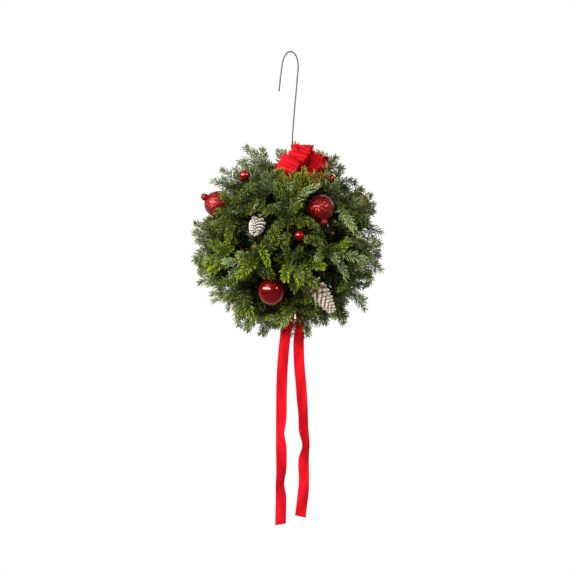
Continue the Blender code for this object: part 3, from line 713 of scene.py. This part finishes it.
# Starts and reaches are distances from the ball's centre, and leans are angles from the stem.
STEM_START = 0.050
STEM_NEEDLES_FROM = 0.086
STEM_RADIUS = 0.0022
STEM_END = 0.165
TWIG_RADIUS = 0.0010
LEADER_START = 0.145
LEADER_REACH = (0.203, 0.219)
SHOOT_STEP = 0.006
SIDE_SHOOTS = 5
SIDE_START = 0.128
SIDE_REACH = (0.148, 0.214)
SIDE_LEAN = math.radians(30)
TIP_ROOM = 0.004
# Short shoots below the others, which the outer ones leave little light
LOW_SHOOTS = 5
LOW_START = 0.090
LOW_REACH = (0.150, 0.184)
LOW_LEAN = math.radians(40)
# Shoots that reach in under and round the ornaments
NEAR_ORNAMENT = math.radians(42)
UNDER_START = 0.098
UNDER_REACH = (0.132, 0.166)
# Long shoots that lie over their neighbours
COAT_SHOOTS = 3
COAT_START = 0.142
COAT_REACH = (0.170, 0.214)
ADDED_START = 0.150
# How strongly a shoot is pulled down, how strongly its own way, and how far it follows
WEIGHT = 0.30
WANDER = 0.55
BEND = (0.10, 0.60)
# How much further the shoots at the top and the underside reach
POLE_REACH = 0.045
BUD_ROOM = 0.003
NEEDLES = 90
NEEDLE_LENGTH = 0.0165
NEEDLE_WIDTH = 0.0021
NEEDLE_DEPTH = 0.0009
TURNED_OVER = 0.10
BUDDED = 0.14
BUD_LENGTH = 0.0062
BUD_RADIUS = 0.0021
# Places and half angles of the shank, the turn below, the tails and the bow, which the sprays stand clear of
OTHER_SITES = (
    ((SHANK_X - BALL_CENTRE[0], 0, 0.150), 0.07),
    ((FOLD_X, 0, -0.110), 0.17),
    ((0.014, -0.034, -0.185), 0.17),
    (BOW_PLACE, 0.058 / np.linalg.norm(BOW_PLACE) * 0.95),
)
SITE_ROOM = 0.015
# What needles keep from the baubles, the loops, the wire and, below its top, the tails
BAUBLE_ROOM = 0.0012
MINI_ROOM = 0.0040
BOW_ROOM = 0.0085
WIRE_ROOM = 0.003
TAIL_ROOM = 0.010
TAILS_TOP = -0.09


def stem_way(name):
    """From the ball's centre to the middle of the corners of the stem's inner end."""
    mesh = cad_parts[name].data
    corners = np.empty(len(mesh.vertices) * 3, np.float32)
    mesh.vertices.foreach_get("co", corners)
    away = corners.reshape(-1, 3) - BALL_CENTRE
    reach = np.linalg.norm(away, axis=1)
    return unit(away[reach < reach.min() + 0.0005].mean(axis=0))


def on_cone(base, faces, length, share):
    """The point on a cone's axis at this share of its length."""
    return np.array(base) + unit(np.array(faces) - base) * share * length


def sites_on_ball():
    """(direction, half angle) of each thing that the sprays stand clear of, the ornaments last."""
    sites = [*OTHER_SITES]
    for _, place, kind in BAUBLES:
        radius = MINI_RADIUS if kind == "mini" else BAUBLE_RADIUS + 0.003
        sites.append((place, radius / np.linalg.norm(place) + SITE_ROOM))
    for _, base, faces, (length, radius, *_) in CONES:
        for share in (0.25, 0.80):
            place = on_cone(base, faces, length, share)
            sites.append((place, radius / np.linalg.norm(place) + SITE_ROOM))
    return unit(np.array([tuple(place) for place, _ in sites])), np.array([size for _, size in sites])


site_ways, site_sizes = sites_on_ball()
ornament_ways = site_ways[len(OTHER_SITES):]


def room_planes(way, others, sites, half_angles):
    """Planes through the ball's centre that bound a spray's room, halfway to each neighbour."""
    targets = np.concatenate([others, sites])
    sizes = np.concatenate([np.full(len(others), np.nan), half_angles])
    angle = np.arccos(np.clip(targets @ way, -1, 1))
    edge = np.where(np.isnan(sizes), angle / 2, angle - np.nan_to_num(sizes))
    sideways = unit(targets - (targets @ way)[:, None] * way)
    return np.cos(edge)[:, None] * sideways - np.sin(edge)[:, None] * way


def lean_of(planes, way, across, reach, widest):
    """The widest lean that keeps a shoot's tip inside the room."""
    turns = np.linspace(0.02, widest, 60)
    inwards, sideways = planes @ way, planes @ across
    room = -(np.cos(turns)[:, None] * inwards + np.sin(turns)[:, None] * sideways).max(axis=1) * reach
    return float(turns[room > TIP_ROOM].max(initial=0.02))


def shoots_round(way, planes, chance, first, uneven, count, start, reaches, widest, narrowed=None):
    """Starts and tips of shoots at even turns round a stem, each leaning out as far as its room lets it:
    tip = reach (cos lean W + sin lean (cos a U + sin a V))."""
    side, up = square_to(way)
    starts, tips = [], []
    for number in range(count):
        turn = first + 2 * math.pi * (number + chance.uniform(-uneven, uneven)) / count
        across = math.cos(turn) * side + math.sin(turn) * up
        reach = chance.uniform(*reaches)
        lean = lean_of(planes, way, across, reach, widest)
        if narrowed:
            lean *= chance.uniform(*narrowed)
        starts.append((start + SHOOT_STEP * number) * way)
        tips.append(reach * (math.cos(lean) * way + math.sin(lean) * across))
    return starts, tips


def main_shoots(way, planes, seed):
    """Starts and tips of a spray's leader and side shoots, from the ball's centre."""
    chance = np.random.default_rng(seed)
    first = chance.uniform(0, 2 * math.pi)
    wander = unit(way + 0.05 * chance.normal(size=3))
    leader = chance.uniform(*LEADER_REACH) * wander
    starts, tips = shoots_round(way, planes, chance, first, 0.15, SIDE_SHOOTS, SIDE_START, SIDE_REACH,
                                SIDE_LEAN)
    return np.array([LEADER_START * way, *starts]), np.array([leader, *tips])


def on_bend(start, middle, tip, part):
    """Quadratic curve p = (1 - t)^2 S + 2 t (1 - t) M + t^2 T and its direction."""
    part = part[..., None]
    place = (1 - part) ** 2 * start + 2 * part * (1 - part) * middle + part**2 * tip
    return place, unit((1 - part) * (middle - start) + part * (tip - middle))


def balls_to_clear():
    """Middles and radii of balls that no needle runs through. They stand for the baubles and the cones, for
    the room in front of each cone, and for gaps that let light fall on the small baubles of the front."""
    balls = [(np.array(place), MINI_RADIUS + MINI_ROOM if kind == "mini" else BAUBLE_RADIUS + BAUBLE_ROOM)
             for _, place, kind in BAUBLES]
    along_cone = ((0.15, 0.75), (0.35, 1.0), (0.55, 0.92), (0.75, 0.72), (0.92, 0.5))
    balls += [(on_cone(base, faces, length, share), 0.95 * radius * size)
              for _, base, faces, (length, radius, *_) in CONES for share, size in along_cone]
    balls += [(middle + ahead * unit(middle * (1, 1, 0)), radius)
              for middle, radius in balls[len(BAUBLES):] for ahead in (0.020, 0.040, 0.058)]
    balls += [(np.array(place) + ahead * np.array(way), 0.0095)
              for _, place, kind in BAUBLES if kind == "mini" and place[1] < 0
              for way in ((0, -1, 0), (-0.62, -0.70, 0.36)) for ahead in (0.018, 0.030, 0.042, 0.054, 0.066)]
    return np.array([middle for middle, _ in balls]), np.array([radius for _, radius in balls])


clear_middles, clear_radii = balls_to_clear()
# Places all through the loops: on the cloth, and halfway between the runs below and above
bow_room = loop_grids[:, ::4, ::8] - BALL_CENTRE
bow_room = np.concatenate([bow_room, 0.5 * (bow_room + bow_room[:, ::-1])]).reshape(-1, 3)
hanging_line = np.concatenate([tail_rows[0][:, 6] - BALL_CENTRE, wire_path[30:] - BALL_CENTRE])[::3]


def is_clear(points):
    """True for points outside the ornaments, the bow's loops, the tails and the wire."""
    apart = np.linalg.norm(points[:, None] - clear_middles, axis=2)
    clear = (apart > clear_radii).all(axis=1)
    clear &= np.linalg.norm(points[:, None] - bow_room, axis=2).min(axis=1) > BOW_ROOM
    near_line = np.linalg.norm(points[:, None] - hanging_line, axis=2).min(axis=1)
    return clear & (near_line > np.where(points[:, 2] < TAILS_TOP, TAIL_ROOM, WIRE_ROOM))


def touches(starts, middles, ends):
    """True for shoots that come into what has to stay clear, from near their start to their needles' tips."""
    places, _ = on_bend(starts[:, None], middles[:, None], ends[:, None], np.linspace(0.15, 1.08, 9)[None])
    return ~is_clear(places.reshape(-1, 3)).reshape(-1, 9).all(axis=1)


def low_shoots(way, open_planes, chance):
    """Starts and tips of the short shoots low on the stem, which spread under the outer ones, and of more
    that reach in under and round each ornament that is near."""
    starts, tips = shoots_round(way, open_planes, chance, 0, 0.20, LOW_SHOOTS, LOW_START, LOW_REACH, LOW_LEAN,
                                narrowed=(0.75, 1.0))
    near = ornament_ways[ornament_ways @ way > math.cos(NEAR_ORNAMENT)]
    under = np.repeat(near, 2, axis=0) + 0.17 * chance.normal(size=(2 * len(near), 3))
    starts = np.concatenate([starts, np.tile(UNDER_START * way, (len(under), 1))])
    return starts, np.concatenate([tips, chance.uniform(*UNDER_REACH, (len(under), 1)) * unit(under)])


def coat_shoots(way, chance):
    """Curves (start, middle, end) of long shoots that arch over: each runs across the ball on its way T,
    which points down and away from the middle of the side that it is on, and none lies over an ornament."""
    away = np.array([way[0], 0, way[2]])
    along = 0.9 * away + np.array([0, 0, -0.45]) + 0.45 * chance.normal(size=(COAT_SHOOTS, 3))
    along = unit(along - (along @ way)[:, None] * way)
    reach = chance.uniform(*COAT_REACH, (COAT_SHOOTS, 1))
    tips = reach * unit(way + np.tan(chance.uniform(0.26, 0.42, (COAT_SHOOTS, 1))) * along)
    middles = (reach + 0.004) * unit(way + chance.uniform(0.02, 0.16, (COAT_SHOOTS, 1)) * along)
    curves = np.stack([np.tile(COAT_START * way, (COAT_SHOOTS, 1)), middles, tips])
    places, _ = on_bend(*curves[:, :, None], np.linspace(0.4, 1.05, 7)[None])
    apart = np.arccos(np.clip(unit(places) @ site_ways.T, -1, 1)) - 0.95 * site_sizes
    return curves[:, (apart.reshape(COAT_SHOOTS, -1) > 0).all(axis=1)]


def shoots_of(way, planes, open_planes, seed, added, chance):
    """Curves (start, middle, end) of all the needled shoots of a spray, the top of its stem first, with each
    one's upper side and tone, and whether it is low. A shoot arches over as it goes out, unless it would then
    touch an ornament, and it is left out if it would touch one all the same."""
    starts, tips = main_shoots(way, planes, seed)
    low_starts, low_tips = low_shoots(way, open_planes, chance)
    is_low = np.arange(len(starts) + len(low_starts)) >= len(starts)
    starts, tips = np.concatenate([starts, low_starts]), np.concatenate([tips, low_tips])
    outwards = unit(tips)
    pull = np.array([0, 0, -WEIGHT]) + WANDER * chance.normal(size=tips.shape)
    pull -= (pull * outwards).sum(axis=1, keepdims=True) * outwards
    length = np.linalg.norm(tips - starts, axis=1, keepdims=True)
    reach = np.linalg.norm(tips, axis=1, keepdims=True) * (1 + POLE_REACH * abs(way[2]) ** 3)
    bent = unit(tips + chance.uniform(*BEND, (len(tips), 1)) * length * pull) * (reach - BUD_ROOM)
    straight = tips * (reach - BUD_ROOM) / reach
    middles = starts + 0.55 * length * unit(unit(tips - starts) + 0.35 * way)
    ends = np.where(touches(starts, middles, bent)[:, None], straight, bent)
    free = ~touches(starts, middles, ends)
    curves = np.stack([starts, middles, ends])[:, free]
    tops = unit(curves[2]) + 0.35 * chance.normal(size=curves[2].shape) + np.array([0, 0, 0.40])
    tops = np.where(chance.random((len(tops), 1)) < TURNED_OVER, -tops, tops)

    coat = coat_shoots(way, chance)
    over = np.where(chance.random((coat.shape[1], 1)) < 1.2 * TURNED_OVER, -1, 1)
    coat_tops = over * (unit(coat[1]) + 0.25 * chance.normal(size=coat[2].shape))
    # Yellow-green young growth lies mostly low down and in front, blue-green older growth above.
    tone = 0.44 - 0.22 * way[2] - 0.10 * way[1] - 0.08 * way[0] + 0.08 * chance.normal()
    tones = tone + 0.29 * chance.normal(size=curves.shape[1] + coat.shape[1])

    added = np.array(added, float).reshape(-1, 8)
    added_starts = np.tile(ADDED_START * way, (len(added), 1))
    added_curves = np.stack([added_starts, added[:, :3] / 1000, added[:, 3:6] / 1000])
    added_tops = unit(added_curves[1]) * (1 - 2 * added[:, 7:]) + np.array([0, 0, 0.2])
    stem = np.array([STEM_NEEDLES_FROM, 0.5 * (STEM_NEEDLES_FROM + STEM_END), STEM_END])[:, None, None] * way
    tones = np.concatenate([[0.15], tones, added[:, 6]])
    is_low = np.concatenate([[False], is_low[free], np.zeros(coat.shape[1] + len(added), bool)])
    curves = np.concatenate([stem, curves, coat, added_curves], axis=1)
    return curves, np.concatenate([[(0.2, 0.1, 1.0)], tops, coat_tops, added_tops]), tones, is_low


def needles_on(curves, tops, tones, is_low, chance):
    """Needle k of a shoot stands at share t = (k + 0.5) / n and turn k times the golden angle, a little
    parted to the shoot's sides. It leaves the twig at an angle that falls from 70 to 40 degrees towards the
    tip, and its face looks to the shoot's upper side. It is a blade of two three-cornered rings with a foot
    and a point. The marks are each corner's tone, its share of the needle, and 1 on the underside's ridge."""
    count = len(tones)
    part = (np.arange(NEEDLES) + 0.5) / NEEDLES
    part = np.clip(part + 0.004 * chance.normal(size=(count, NEEDLES)), 0.02, 1.0)
    place, ahead = on_bend(*curves[:, :, None], part)
    top = unit(tops[:, None] - (tops[:, None] * ahead).sum(axis=2, keepdims=True) * ahead)
    side = np.cross(ahead, top)
    turn = (np.arange(NEEDLES) * GOLDEN_TURN + chance.uniform(0, 6, (count, 1))
            + 0.25 * chance.normal(size=part.shape))
    turn = turn - 0.06 * np.sin(2 * turn)
    lift = np.sin(turn)[..., None]
    around = unit(np.cos(turn)[..., None] * side + np.where(lift > 0, 0.95, 0.75) * lift * top)
    lean = np.radians(70 - 30 * part**1.6 + 8 * chance.normal(size=part.shape))[..., None]
    way_out = unit(np.cos(lean) * ahead + np.sin(lean) * around + 0.10 * top)
    size = NEEDLE_LENGTH * chance.uniform(0.86, 1.12, (count, 1)) * chance.uniform(0.80, 1.05, part.shape)
    size = (size * (1 - 0.35 * part**6) * np.clip(0.72 + part / 0.25, 0, 1))[..., None]
    face = top + 0.55 * ahead * np.abs(lift) + 0.42 * chance.normal(size=place.shape)
    face = unit(face - (face * way_out).sum(axis=2, keepdims=True) * way_out)
    blade = np.cross(face, way_out)
    foot = place + 0.0008 * around
    knee = foot + 0.22 * size * way_out
    shoulder = foot + 0.80 * size * unit(way_out + 0.10 * ahead)
    point = foot + size * unit(way_out + 0.17 * ahead)
    width = (0.5 * NEEDLE_WIDTH * np.where(is_low, 1.3, 1.0)[:, None]
             * chance.uniform(0.85, 1.10, part.shape))[..., None]
    rings = np.stack([
        np.stack([middle + wide * width * blade, middle - wide * width * blade, middle - deep * face], axis=2)
        for middle, wide, deep in ((knee, 0.9, NEEDLE_DEPTH), (shoulder, 1.0, 0.8 * NEEDLE_DEPTH))
    ], axis=2).reshape(-1, 2, 3, 3)
    needle_ends = np.stack([foot, point], axis=2).reshape(-1, 2, 3)
    kept = is_clear(0.5 * (knee + shoulder).reshape(-1, 3)) & is_clear(point.reshape(-1, 3))
    kept &= np.linalg.norm(foot.reshape(-1, 3), axis=1) > FOAM_RADIUS + 0.002
    kept &= ~(is_low[:, None] & (np.arange(NEEDLES) % 5 > 2)).reshape(-1)
    needles = closed_skins(BALL_CENTRE + rings[kept], BALL_CENTRE + needle_ends[kept])

    tone = np.clip(tones[:, None] + 0.20 * chance.normal(size=part.shape), 0, 1).reshape(-1)[kept]
    return needles, {
        "tone": np.repeat(tone, 8),
        "under": np.tile([0, 0, 1, 0, 0, 1, 0.2, 0], kept.sum()),
        "along": np.tile([0.2, 0.2, 0.2, 0.8, 0.8, 0.8, 0, 1], kept.sum()),
    }


def twigs_on(way, curves):
    """Tapered tubes along the shoots, and a stouter one for the stem, from inside the foam to the leader."""
    starts, middles, ends = curves
    starts = np.concatenate([[STEM_START * way], starts[1:]])
    part = np.broadcast_to(np.linspace(0, 1, 7), (len(starts), 7))
    path, _ = on_bend(starts[:, None], middles[:, None], ends[:, None], part)
    level = np.cross(middles - starts, ends - middles)
    is_bent = np.linalg.norm(level, axis=1, keepdims=True) > 1e-7
    level = unit(np.where(is_bent, level, np.cross(way, ASIDE)))
    thick = np.concatenate([[STEM_RADIUS], np.full(len(starts) - 1, TWIG_RADIUS)])
    thick = thick[:, None] * np.linspace(1, 0.6, 7)
    return closed_skins(tubes(BALL_CENTRE + path, thick, level, 6))


def buds_on(curves, chance):
    """Three short spindles spread at the end of some shoots: p = foot + h way + r (cos a U + sin a V)."""
    budded = np.flatnonzero(chance.random(curves.shape[1] - 1) < BUDDED) + 1
    _, ahead = on_bend(*curves[:, budded, None], np.ones((len(budded), 1)))
    turn = np.array([0.0, 2.1, 4.2]) + chance.uniform(0, 2, (len(budded), 1))
    level = np.cross(ahead, ASIDE)
    way = unit(ahead + 0.55 * ring_of(turn, level, np.cross(ahead, level)))
    first, second = square_to(way)
    ring = ring_of(circle(6), first[:, :, None], second[:, :, None])
    foot = curves[2, budded, None] - 0.001 * ahead + 0 * way
    along = np.array([0.0, 0.3, 0.6, 0.85])[:, None, None]
    radius = np.array([0.5, 1.0, 0.85, 0.4])[:, None, None]
    rings = (foot[:, :, None, None] + BUD_LENGTH * along * way[:, :, None, None]
             + BUD_RADIUS * radius * ring[:, :, None])
    ends = np.stack([foot, foot + BUD_LENGTH * way], axis=2)
    return closed_skins(BALL_CENTRE + rings.reshape(-1, 4, 6, 3), BALL_CENTRE + ends.reshape(-1, 2, 3))


def fir_spray(name, way, planes, open_planes, seed, added):
    """One spray: the needles of all its shoots, its twigs and its buds."""
    chance = np.random.default_rng(SECOND_SEED + seed)
    curves, tops, tones, is_low = shoots_of(way, planes, open_planes, seed, added, chance)
    needles, marks = needles_on(curves, tops, tones, is_low, chance)
    twigs, buds = twigs_on(way, curves), buds_on(curves, chance)
    rest = len(twigs[0]) + len(buds[0])
    marks = {mark: np.concatenate([values, np.full(rest, 0.5)]) for mark, values in marks.items()}
    return piece(name, [needles, twigs, buds], [needle_look, bark_look, bud_look], [False, True, True], marks)


needle_look, needle_tree, needle_shader = finish_of("fir_needle", {"Specular IOR Level": 0.12})
needle_tone = mark_of(needle_tree, "tone")
needle_under = mark_of(needle_tree, "under")
needle_along = mark_of(needle_tree, "along")
old_green = two_colours(needle_tree, graded(needle_tree, needle_tone, 0.0, 0.45),
                        (0.016, 0.036, 0.007, 1), (0.085, 0.135, 0.006, 1))
new_green = two_colours(needle_tree, graded(needle_tree, needle_tone, 0.45, 1.0),
                        old_green, (0.260, 0.350, 0.006, 1))
# Painted shade and light along each needle: its foot is painted near black where the needles crowd the twig,
# and its tip a paler yellow-green as painted light.
needle_foot_painted_shade = two_colours(needle_tree, graded(needle_tree, needle_along, 0.0, 0.7),
                     (0.006, 0.009, 0.001, 1), new_green)
needle_tip_painted_light = two_colours(needle_tree, graded(needle_tree, needle_along, 0.5, 1.0, 0.0, 0.30),
                        needle_foot_painted_shade, (0.42, 0.50, 0.05, 1))
# A pale band lies on each side of the ridge of the underside.
bands = mathed(needle_tree, "MULTIPLY", graded(needle_tree, needle_under, 0.15, 0.35),
               graded(needle_tree, needle_under, 0.65, 0.85, 1.0, 0.0))
needle_colour = two_colours(needle_tree, graded(needle_tree, bands, 0, 1, 0, 0.90),
                            needle_tip_painted_light, (0.47, 0.585, 0.28, 1))
# Needles deep in the ball are painted darker, near black within 150 mm of its middle: painted shade where the
# outer shoots keep the light off.
needle_place = node(needle_tree, "TexCoord").outputs["Object"]
from_middle = node(needle_tree, "VectorMath", {0: needle_place, 1: tuple(BALL_CENTRE)}, operation="DISTANCE")
in_light = graded(needle_tree, from_middle.outputs["Value"], 0.150, 0.206, 0.10, 1.0)
feed(needle_tree, needle_shader, roughness=graded(needle_tree, bands, 0, 1, 0.45, 0.80),
     colour=two_colours(needle_tree, in_light, (0.004, 0.006, 0.001, 1), needle_colour))

bark_look = patchy_finish("fir_bark", {"Roughness": 0.85}, (300.0, 0.4, 0.6),
                          (0.050, 0.042, 0.018, 1), (0.12, 0.090, 0.036, 1), grain=(0.4, 0.0006))
bud_look = patchy_finish("fir_bud", {"Roughness": 0.5}, (700.0, 0.4, 0.6),
                         (0.26, 0.10, 0.030, 1), (0.50, 0.24, 0.07, 1), grain=(0.3, 0.0004))

# Shoots that arch in front of their neighbours or stand out past them, by the number of their spray: middle
# and tip in millimetres from the ball's centre, tone, and 1 if turned over
ADDED_SHOOTS = {
    1: [(-16, 45, 180, -20, 30, 204, 0.2, 0), (8, 55, 185, 18, 45, 219, 0.2, 0),
        (0, 30, 152, 2, 4, 150, 0.15, 0), (12, 35, 150, 20, 10, 148, 0.15, 0)],
    2: [(-70, -20, 185, -94, -10, 211, 0.2, 0), (-50, -10, 185, -57, 0, 206, 0.3, 0),
        (-30, -35, 152, -8, -40, 148, 0.15, 0), (-25, -15, 152, 0, -10, 150, 0.15, 0)],
    3: [(62, -10, 170, 66, 5, 197, 0.2, 0), (85, -20, 155, 91, -30, 178, 0.3, 0),
        (45, -10, 150, 18, -12, 152, 0.15, 0), (50, -35, 145, 25, -45, 146, 0.15, 0)],
    5: [(-45, -165, 145, -12, -168, 153, 0.25, 0), (-30, -170, 140, 6, -185, 118, 0.35, 1),
        (-45, -165, 135, -20, -172, 150, 0.3, 0), (-45, -172, 118, -10, -182, 132, 0.3, 0),
        (-75, -135, 150, -95, -110, 166, 0.2, 0)],
    6: [(60, 20, 115, 40, 15, 78, 0.1, 0)],
    7: [(-120, 0, 148, -147, -10, 161, 0.3, 0), (-130, -10, 125, -166, -20, 136, 0.5, 0),
        (-100, 25, 100, -94, 30, 80, 0.1, 0)],
    8: [(110, -160, 130, 58, -172, 150, 0.4, 0), (105, -155, 118, 66, -184, 130, 0.35, 0),
        (100, -150, 140, 80, -150, 165, 0.4, 0), (95, -165, 115, 62, -175, 140, 0.4, 0),
        (105, -150, 125, 82, -160, 150, 0.5, 0), (145, -20, 100, 160, 8, 120, 0.3, 0),
        (142, -30, 95, 162, -5, 118, 0.3, 0), (135, -40, 85, 150, -10, 92, 0.3, 0),
        (100, -195, 88, 153, -158, 12, 0.5, 1), (118, -185, 80, 143, -168, 28, 0.6, 1)],
    9: [(30, 125, 80, 52, 115, 72, 0.2, 0)],
    10: [(-110, -165, 110, -70, -185, 120, 0.2, 0), (-85, -160, 85, -60, -175, 75, 0.2, 0),
         (-95, -150, 75, -80, -165, 66, 0.3, 0), (-125, -140, 85, -143, -125, 106, 0.3, 0),
         (-130, -140, 62, -155, -120, 66, 0.3, 0), (-105, -95, 55, -118, -105, 22, 0.1, 0),
         (-95, -110, 60, -98, -125, 30, 0.15, 0)],
    11: [(162, -12, 75, 181, 4, 106, 0.4, 0), (165, -15, 60, 186, -2, 86, 0.4, 0),
         (160, -15, 65, 170, -4, 108, 0.4, 0)],
    13: [(8, -180, 108, 22, -186, 140, 0.3, 0), (34, -178, 112, 48, -182, 143, 0.35, 0),
         (10, -195, 100, 66, -190, 122, 0.25, 1), (-5, -200, 90, 10, -176, 150, 0.35, 0),
         (15, -190, 110, 36, -174, 158, 0.65, 0), (-12, -200, 80, -26, -178, 128, 0.2, 0),
         (20, -195, 105, 22, -180, 146, 0.6, 0), (40, -190, 100, 50, -178, 140, 0.5, 0),
         (0, -195, 105, -12, -176, 143, 0.35, 0), (-20, -205, 50, -35, -205, 8, 0.35, 0),
         (5, -205, 40, -5, -205, -2, 0.4, 0), (12, -200, 72, 24, -205, 80, 0.5, 0),
         (-30, -195, 85, -50, -190, 60, 0.3, 0)],
    14: [(60, 115, 78, 34, 120, 76, 0.2, 0), (95, 95, 55, 93, 75, 43, 0.1, 0)],
    15: [(-175, -30, 35, -204, -20, 43, 0.4, 0), (-145, -50, 20, -139, -60, 44, 0.2, 0)],
    18: [(-50, -200, -10, -30, -203, 30, 0.3, 0), (-60, -200, 12, -44, -203, -48, 1, 0),
         (-80, -190, -50, -108, -170, -73, 1, 0), (-40, -195, -20, -20, -205, 12, 0.5, 0)],
    19: [(110, 70, 35, 88, 65, 50, 0.1, 0)],
    21: [(75, -205, 0, 40, -205, 6, 0.4, 0), (60, -190, 30, 46, -195, 46, 0.4, 0),
         (115, -165, -30, 127, -155, 6, 0.9, 0), (68, -195, -25, 66, -200, -34, 0.6, 1)],
    23: [(-150, -120, -50, -172, -95, -66, 0.9, 0), (-110, -95, 0, -110, -105, 30, 0.1, 0)],
    25: [(-100, 85, 20, -95, 55, 30, 0.1, 0)],
    26: [(10, -205, -40, -10, -204, -5, 0.3, 0), (-8, -205, -45, -5, -198, -82, 0.95, 0),
         (20, -203, -55, 27, -192, -90, 0.8, 0), (64, -192, -48, 76, -184, -52, 0.8, 0),
         (38, -198, -55, 40, -190, -72, 0.6, 0)],
    28: [(-170, -20, -40, -204, -20, -36, 0.7, 0), (-170, -10, -75, -196, -10, -89, 0.7, 0)],
    31: [(-85, -120, -145, -75, -110, -168, 0.8, 0), (-100, -115, -140, -107, -100, -155, 0.5, 0)],
    32: [(150, 10, -115, 168, -10, -146, 0.3, 0)],
    33: [(-135, 20, -110, -169, 10, -111, 0.2, 0)],
    34: [(35, -70, -165, 44, -55, -202, 0.4, 0), (40, -100, -152, 66, -85, -152, 0.4, 0)],
    36: [(-75, -35, -165, -90, -30, -189, 0.5, 0), (-55, -30, -175, -52, -30, -202, 0.5, 0)],
    37: [(83, -30, -155, 81, -30, -175, 0.3, 0), (110, -25, -145, 125, -25, -159, 0.3, 0),
         (85, -40, -150, 62, -60, -152, 0.3, 0)],
    38: [(-26, 40, -165, -26, 20, -181, 0.3, 0)],
}
spray_names = [f"fir_spray_{number:02d}" for number in range(1, SPRAY_COUNT + 1)]
spray_ways = np.array([stem_way(spray_name) for spray_name in spray_names])
for index, spray_name in enumerate(spray_names):
    others = np.delete(spray_ways, index, axis=0)
    spray_planes = room_planes(spray_ways[index], others, site_ways, site_sizes)
    open_planes = room_planes(spray_ways[index], others, site_ways[:0], site_sizes[:0])
    spray = fir_spray(spray_name + "_tip", spray_ways[index], spray_planes, open_planes, SEED + index,
                      ADDED_SHOOTS.get(index + 1, ()))
    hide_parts(spray_name)


# ---- Floor, light and camera ----
# A plain pale floor well below the hanging ball, a wide soft lamp low on the left with a weaker one above it,
# a small one on the right and one behind that rims the needles, and a far camera with a long lens, level with
# the middle of the whole piece.

FLOOR_Z = -1.62
FLOOR_RADIUS = 6
floor_edge = FLOOR_RADIUS * ring_of(circle(96), np.array([1, 0, 0]), np.array([0, 1, 0])) + (0, 0, FLOOR_Z)
floor_mesh = bpy.data.meshes.new("studio_floor")
floor_mesh.from_pydata(floor_edge.tolist(), [], [tuple(range(96))])
studio_floor = bpy.data.objects.new("studio_floor", floor_mesh)
bpy.context.scene.collection.objects.link(studio_floor)
floor_look, floor_tree, floor_shader = finish_of(
    "pale_floor", {"Roughness": 0.9, "Emission Color": (1, 1, 0.99, 1)})
# Reflections show it dark before the ball and bright behind it.
floor_rays = node(floor_tree, "LightPath").outputs
in_mirror = floor_rays["Is Glossy Ray"]
floor_colour = two_colours(floor_tree, in_mirror, (0.55, 0.55, 0.54, 1), (0.09, 0.09, 0.09, 1))
feed(floor_tree, floor_shader, colour=floor_colour)
floor_place = node(floor_tree, "SeparateXYZ", {0: node(floor_tree, "TexCoord").outputs["Object"]}).outputs
floor_behind = graded(floor_tree, floor_place[1], 0.2, 1.5, 0.0, 0.70)
floor_seen = graded(floor_tree, floor_rays["Is Camera Ray"], 0, 1, 0.0, 0.80)
floor_glow = mathed(floor_tree, "ADD", floor_seen, mathed(floor_tree, "MULTIPLY", in_mirror, floor_behind))
floor_tree.links.new(floor_glow, floor_shader.inputs["Emission Strength"])
floor_mesh.materials.append(floor_look)


def soft_light(name, azimuth, elevation, distance, size, power):
    """A flat lamp that looks at the ball's centre, from degrees to the right of the camera and degrees up."""
    lamp = bpy.data.lights.new(name, "AREA")
    lamp.shape = "RECTANGLE"
    lamp.size, lamp.size_y = size
    lamp.energy = power
    turn, rise = math.radians(azimuth), math.radians(elevation)
    back = np.array([math.sin(turn) * math.cos(rise), -math.cos(turn) * math.cos(rise), math.sin(rise)])
    made = bpy.data.objects.new(name, lamp)
    made.location = BALL_CENTRE + distance * back
    made.rotation_mode = "QUATERNION"
    made.rotation_quaternion = Vector(back).to_track_quat("Z", "Y")
    bpy.context.scene.collection.objects.link(made)


soft_light("key_light", -44, 20, 2.6, (3.2, 0.5), 118)
soft_light("upper_light", -42, 47, 2.6, (2.0, 1.3), 14)
soft_light("side_light", 50, 24, 2.6, (0.45, 0.45), 24)
soft_light("back_light", 165, 28, 2.8, (2.6, 1.4), 80)

# The room is white where it is seen, and lights the piece more from above and from the wall behind it.
world = bpy.data.worlds.new("white_room")
world.use_nodes = True
bpy.context.scene.world = world
room_tree = world.node_tree
room = room_tree.nodes["Background"]
room_seen = node(room_tree, "LightPath").outputs["Is Camera Ray"]
room_way = node(room_tree, "TexCoord").outputs["Generated"]
room_side = node(room_tree, "SeparateXYZ", {0: room_way}).outputs
room_above = graded(room_tree, room_side[2], -0.4, 0.8, 0.04, 0.16)
room_behind = graded(room_tree, room_side[1], 0.0, 0.8, 0.0, 0.16)
room_light = mathed(room_tree, "ADD", room_above, room_behind)
room_strength = node(room_tree, "Mix", {0: room_seen, 2: room_light, 3: 1.0}).outputs[0]
room_tree.links.new(room_strength, room.inputs["Strength"])
room.inputs["Color"].default_value = (1, 1, 1, 1)

camera = bpy.data.cameras.new("camera")
camera.lens = 284.0
camera.sensor_width = 36.0
camera.clip_end = 60.0
camera_object = bpy.data.objects.new("camera", camera)
camera_object.location = (BALL_CENTRE[0], -10.0, -0.519)
camera_object.rotation_euler = (math.pi / 2, 0, 0)
bpy.context.scene.collection.objects.link(camera_object)
bpy.context.scene.camera = camera_object
bpy.context.scene.view_settings.view_transform = "Standard"
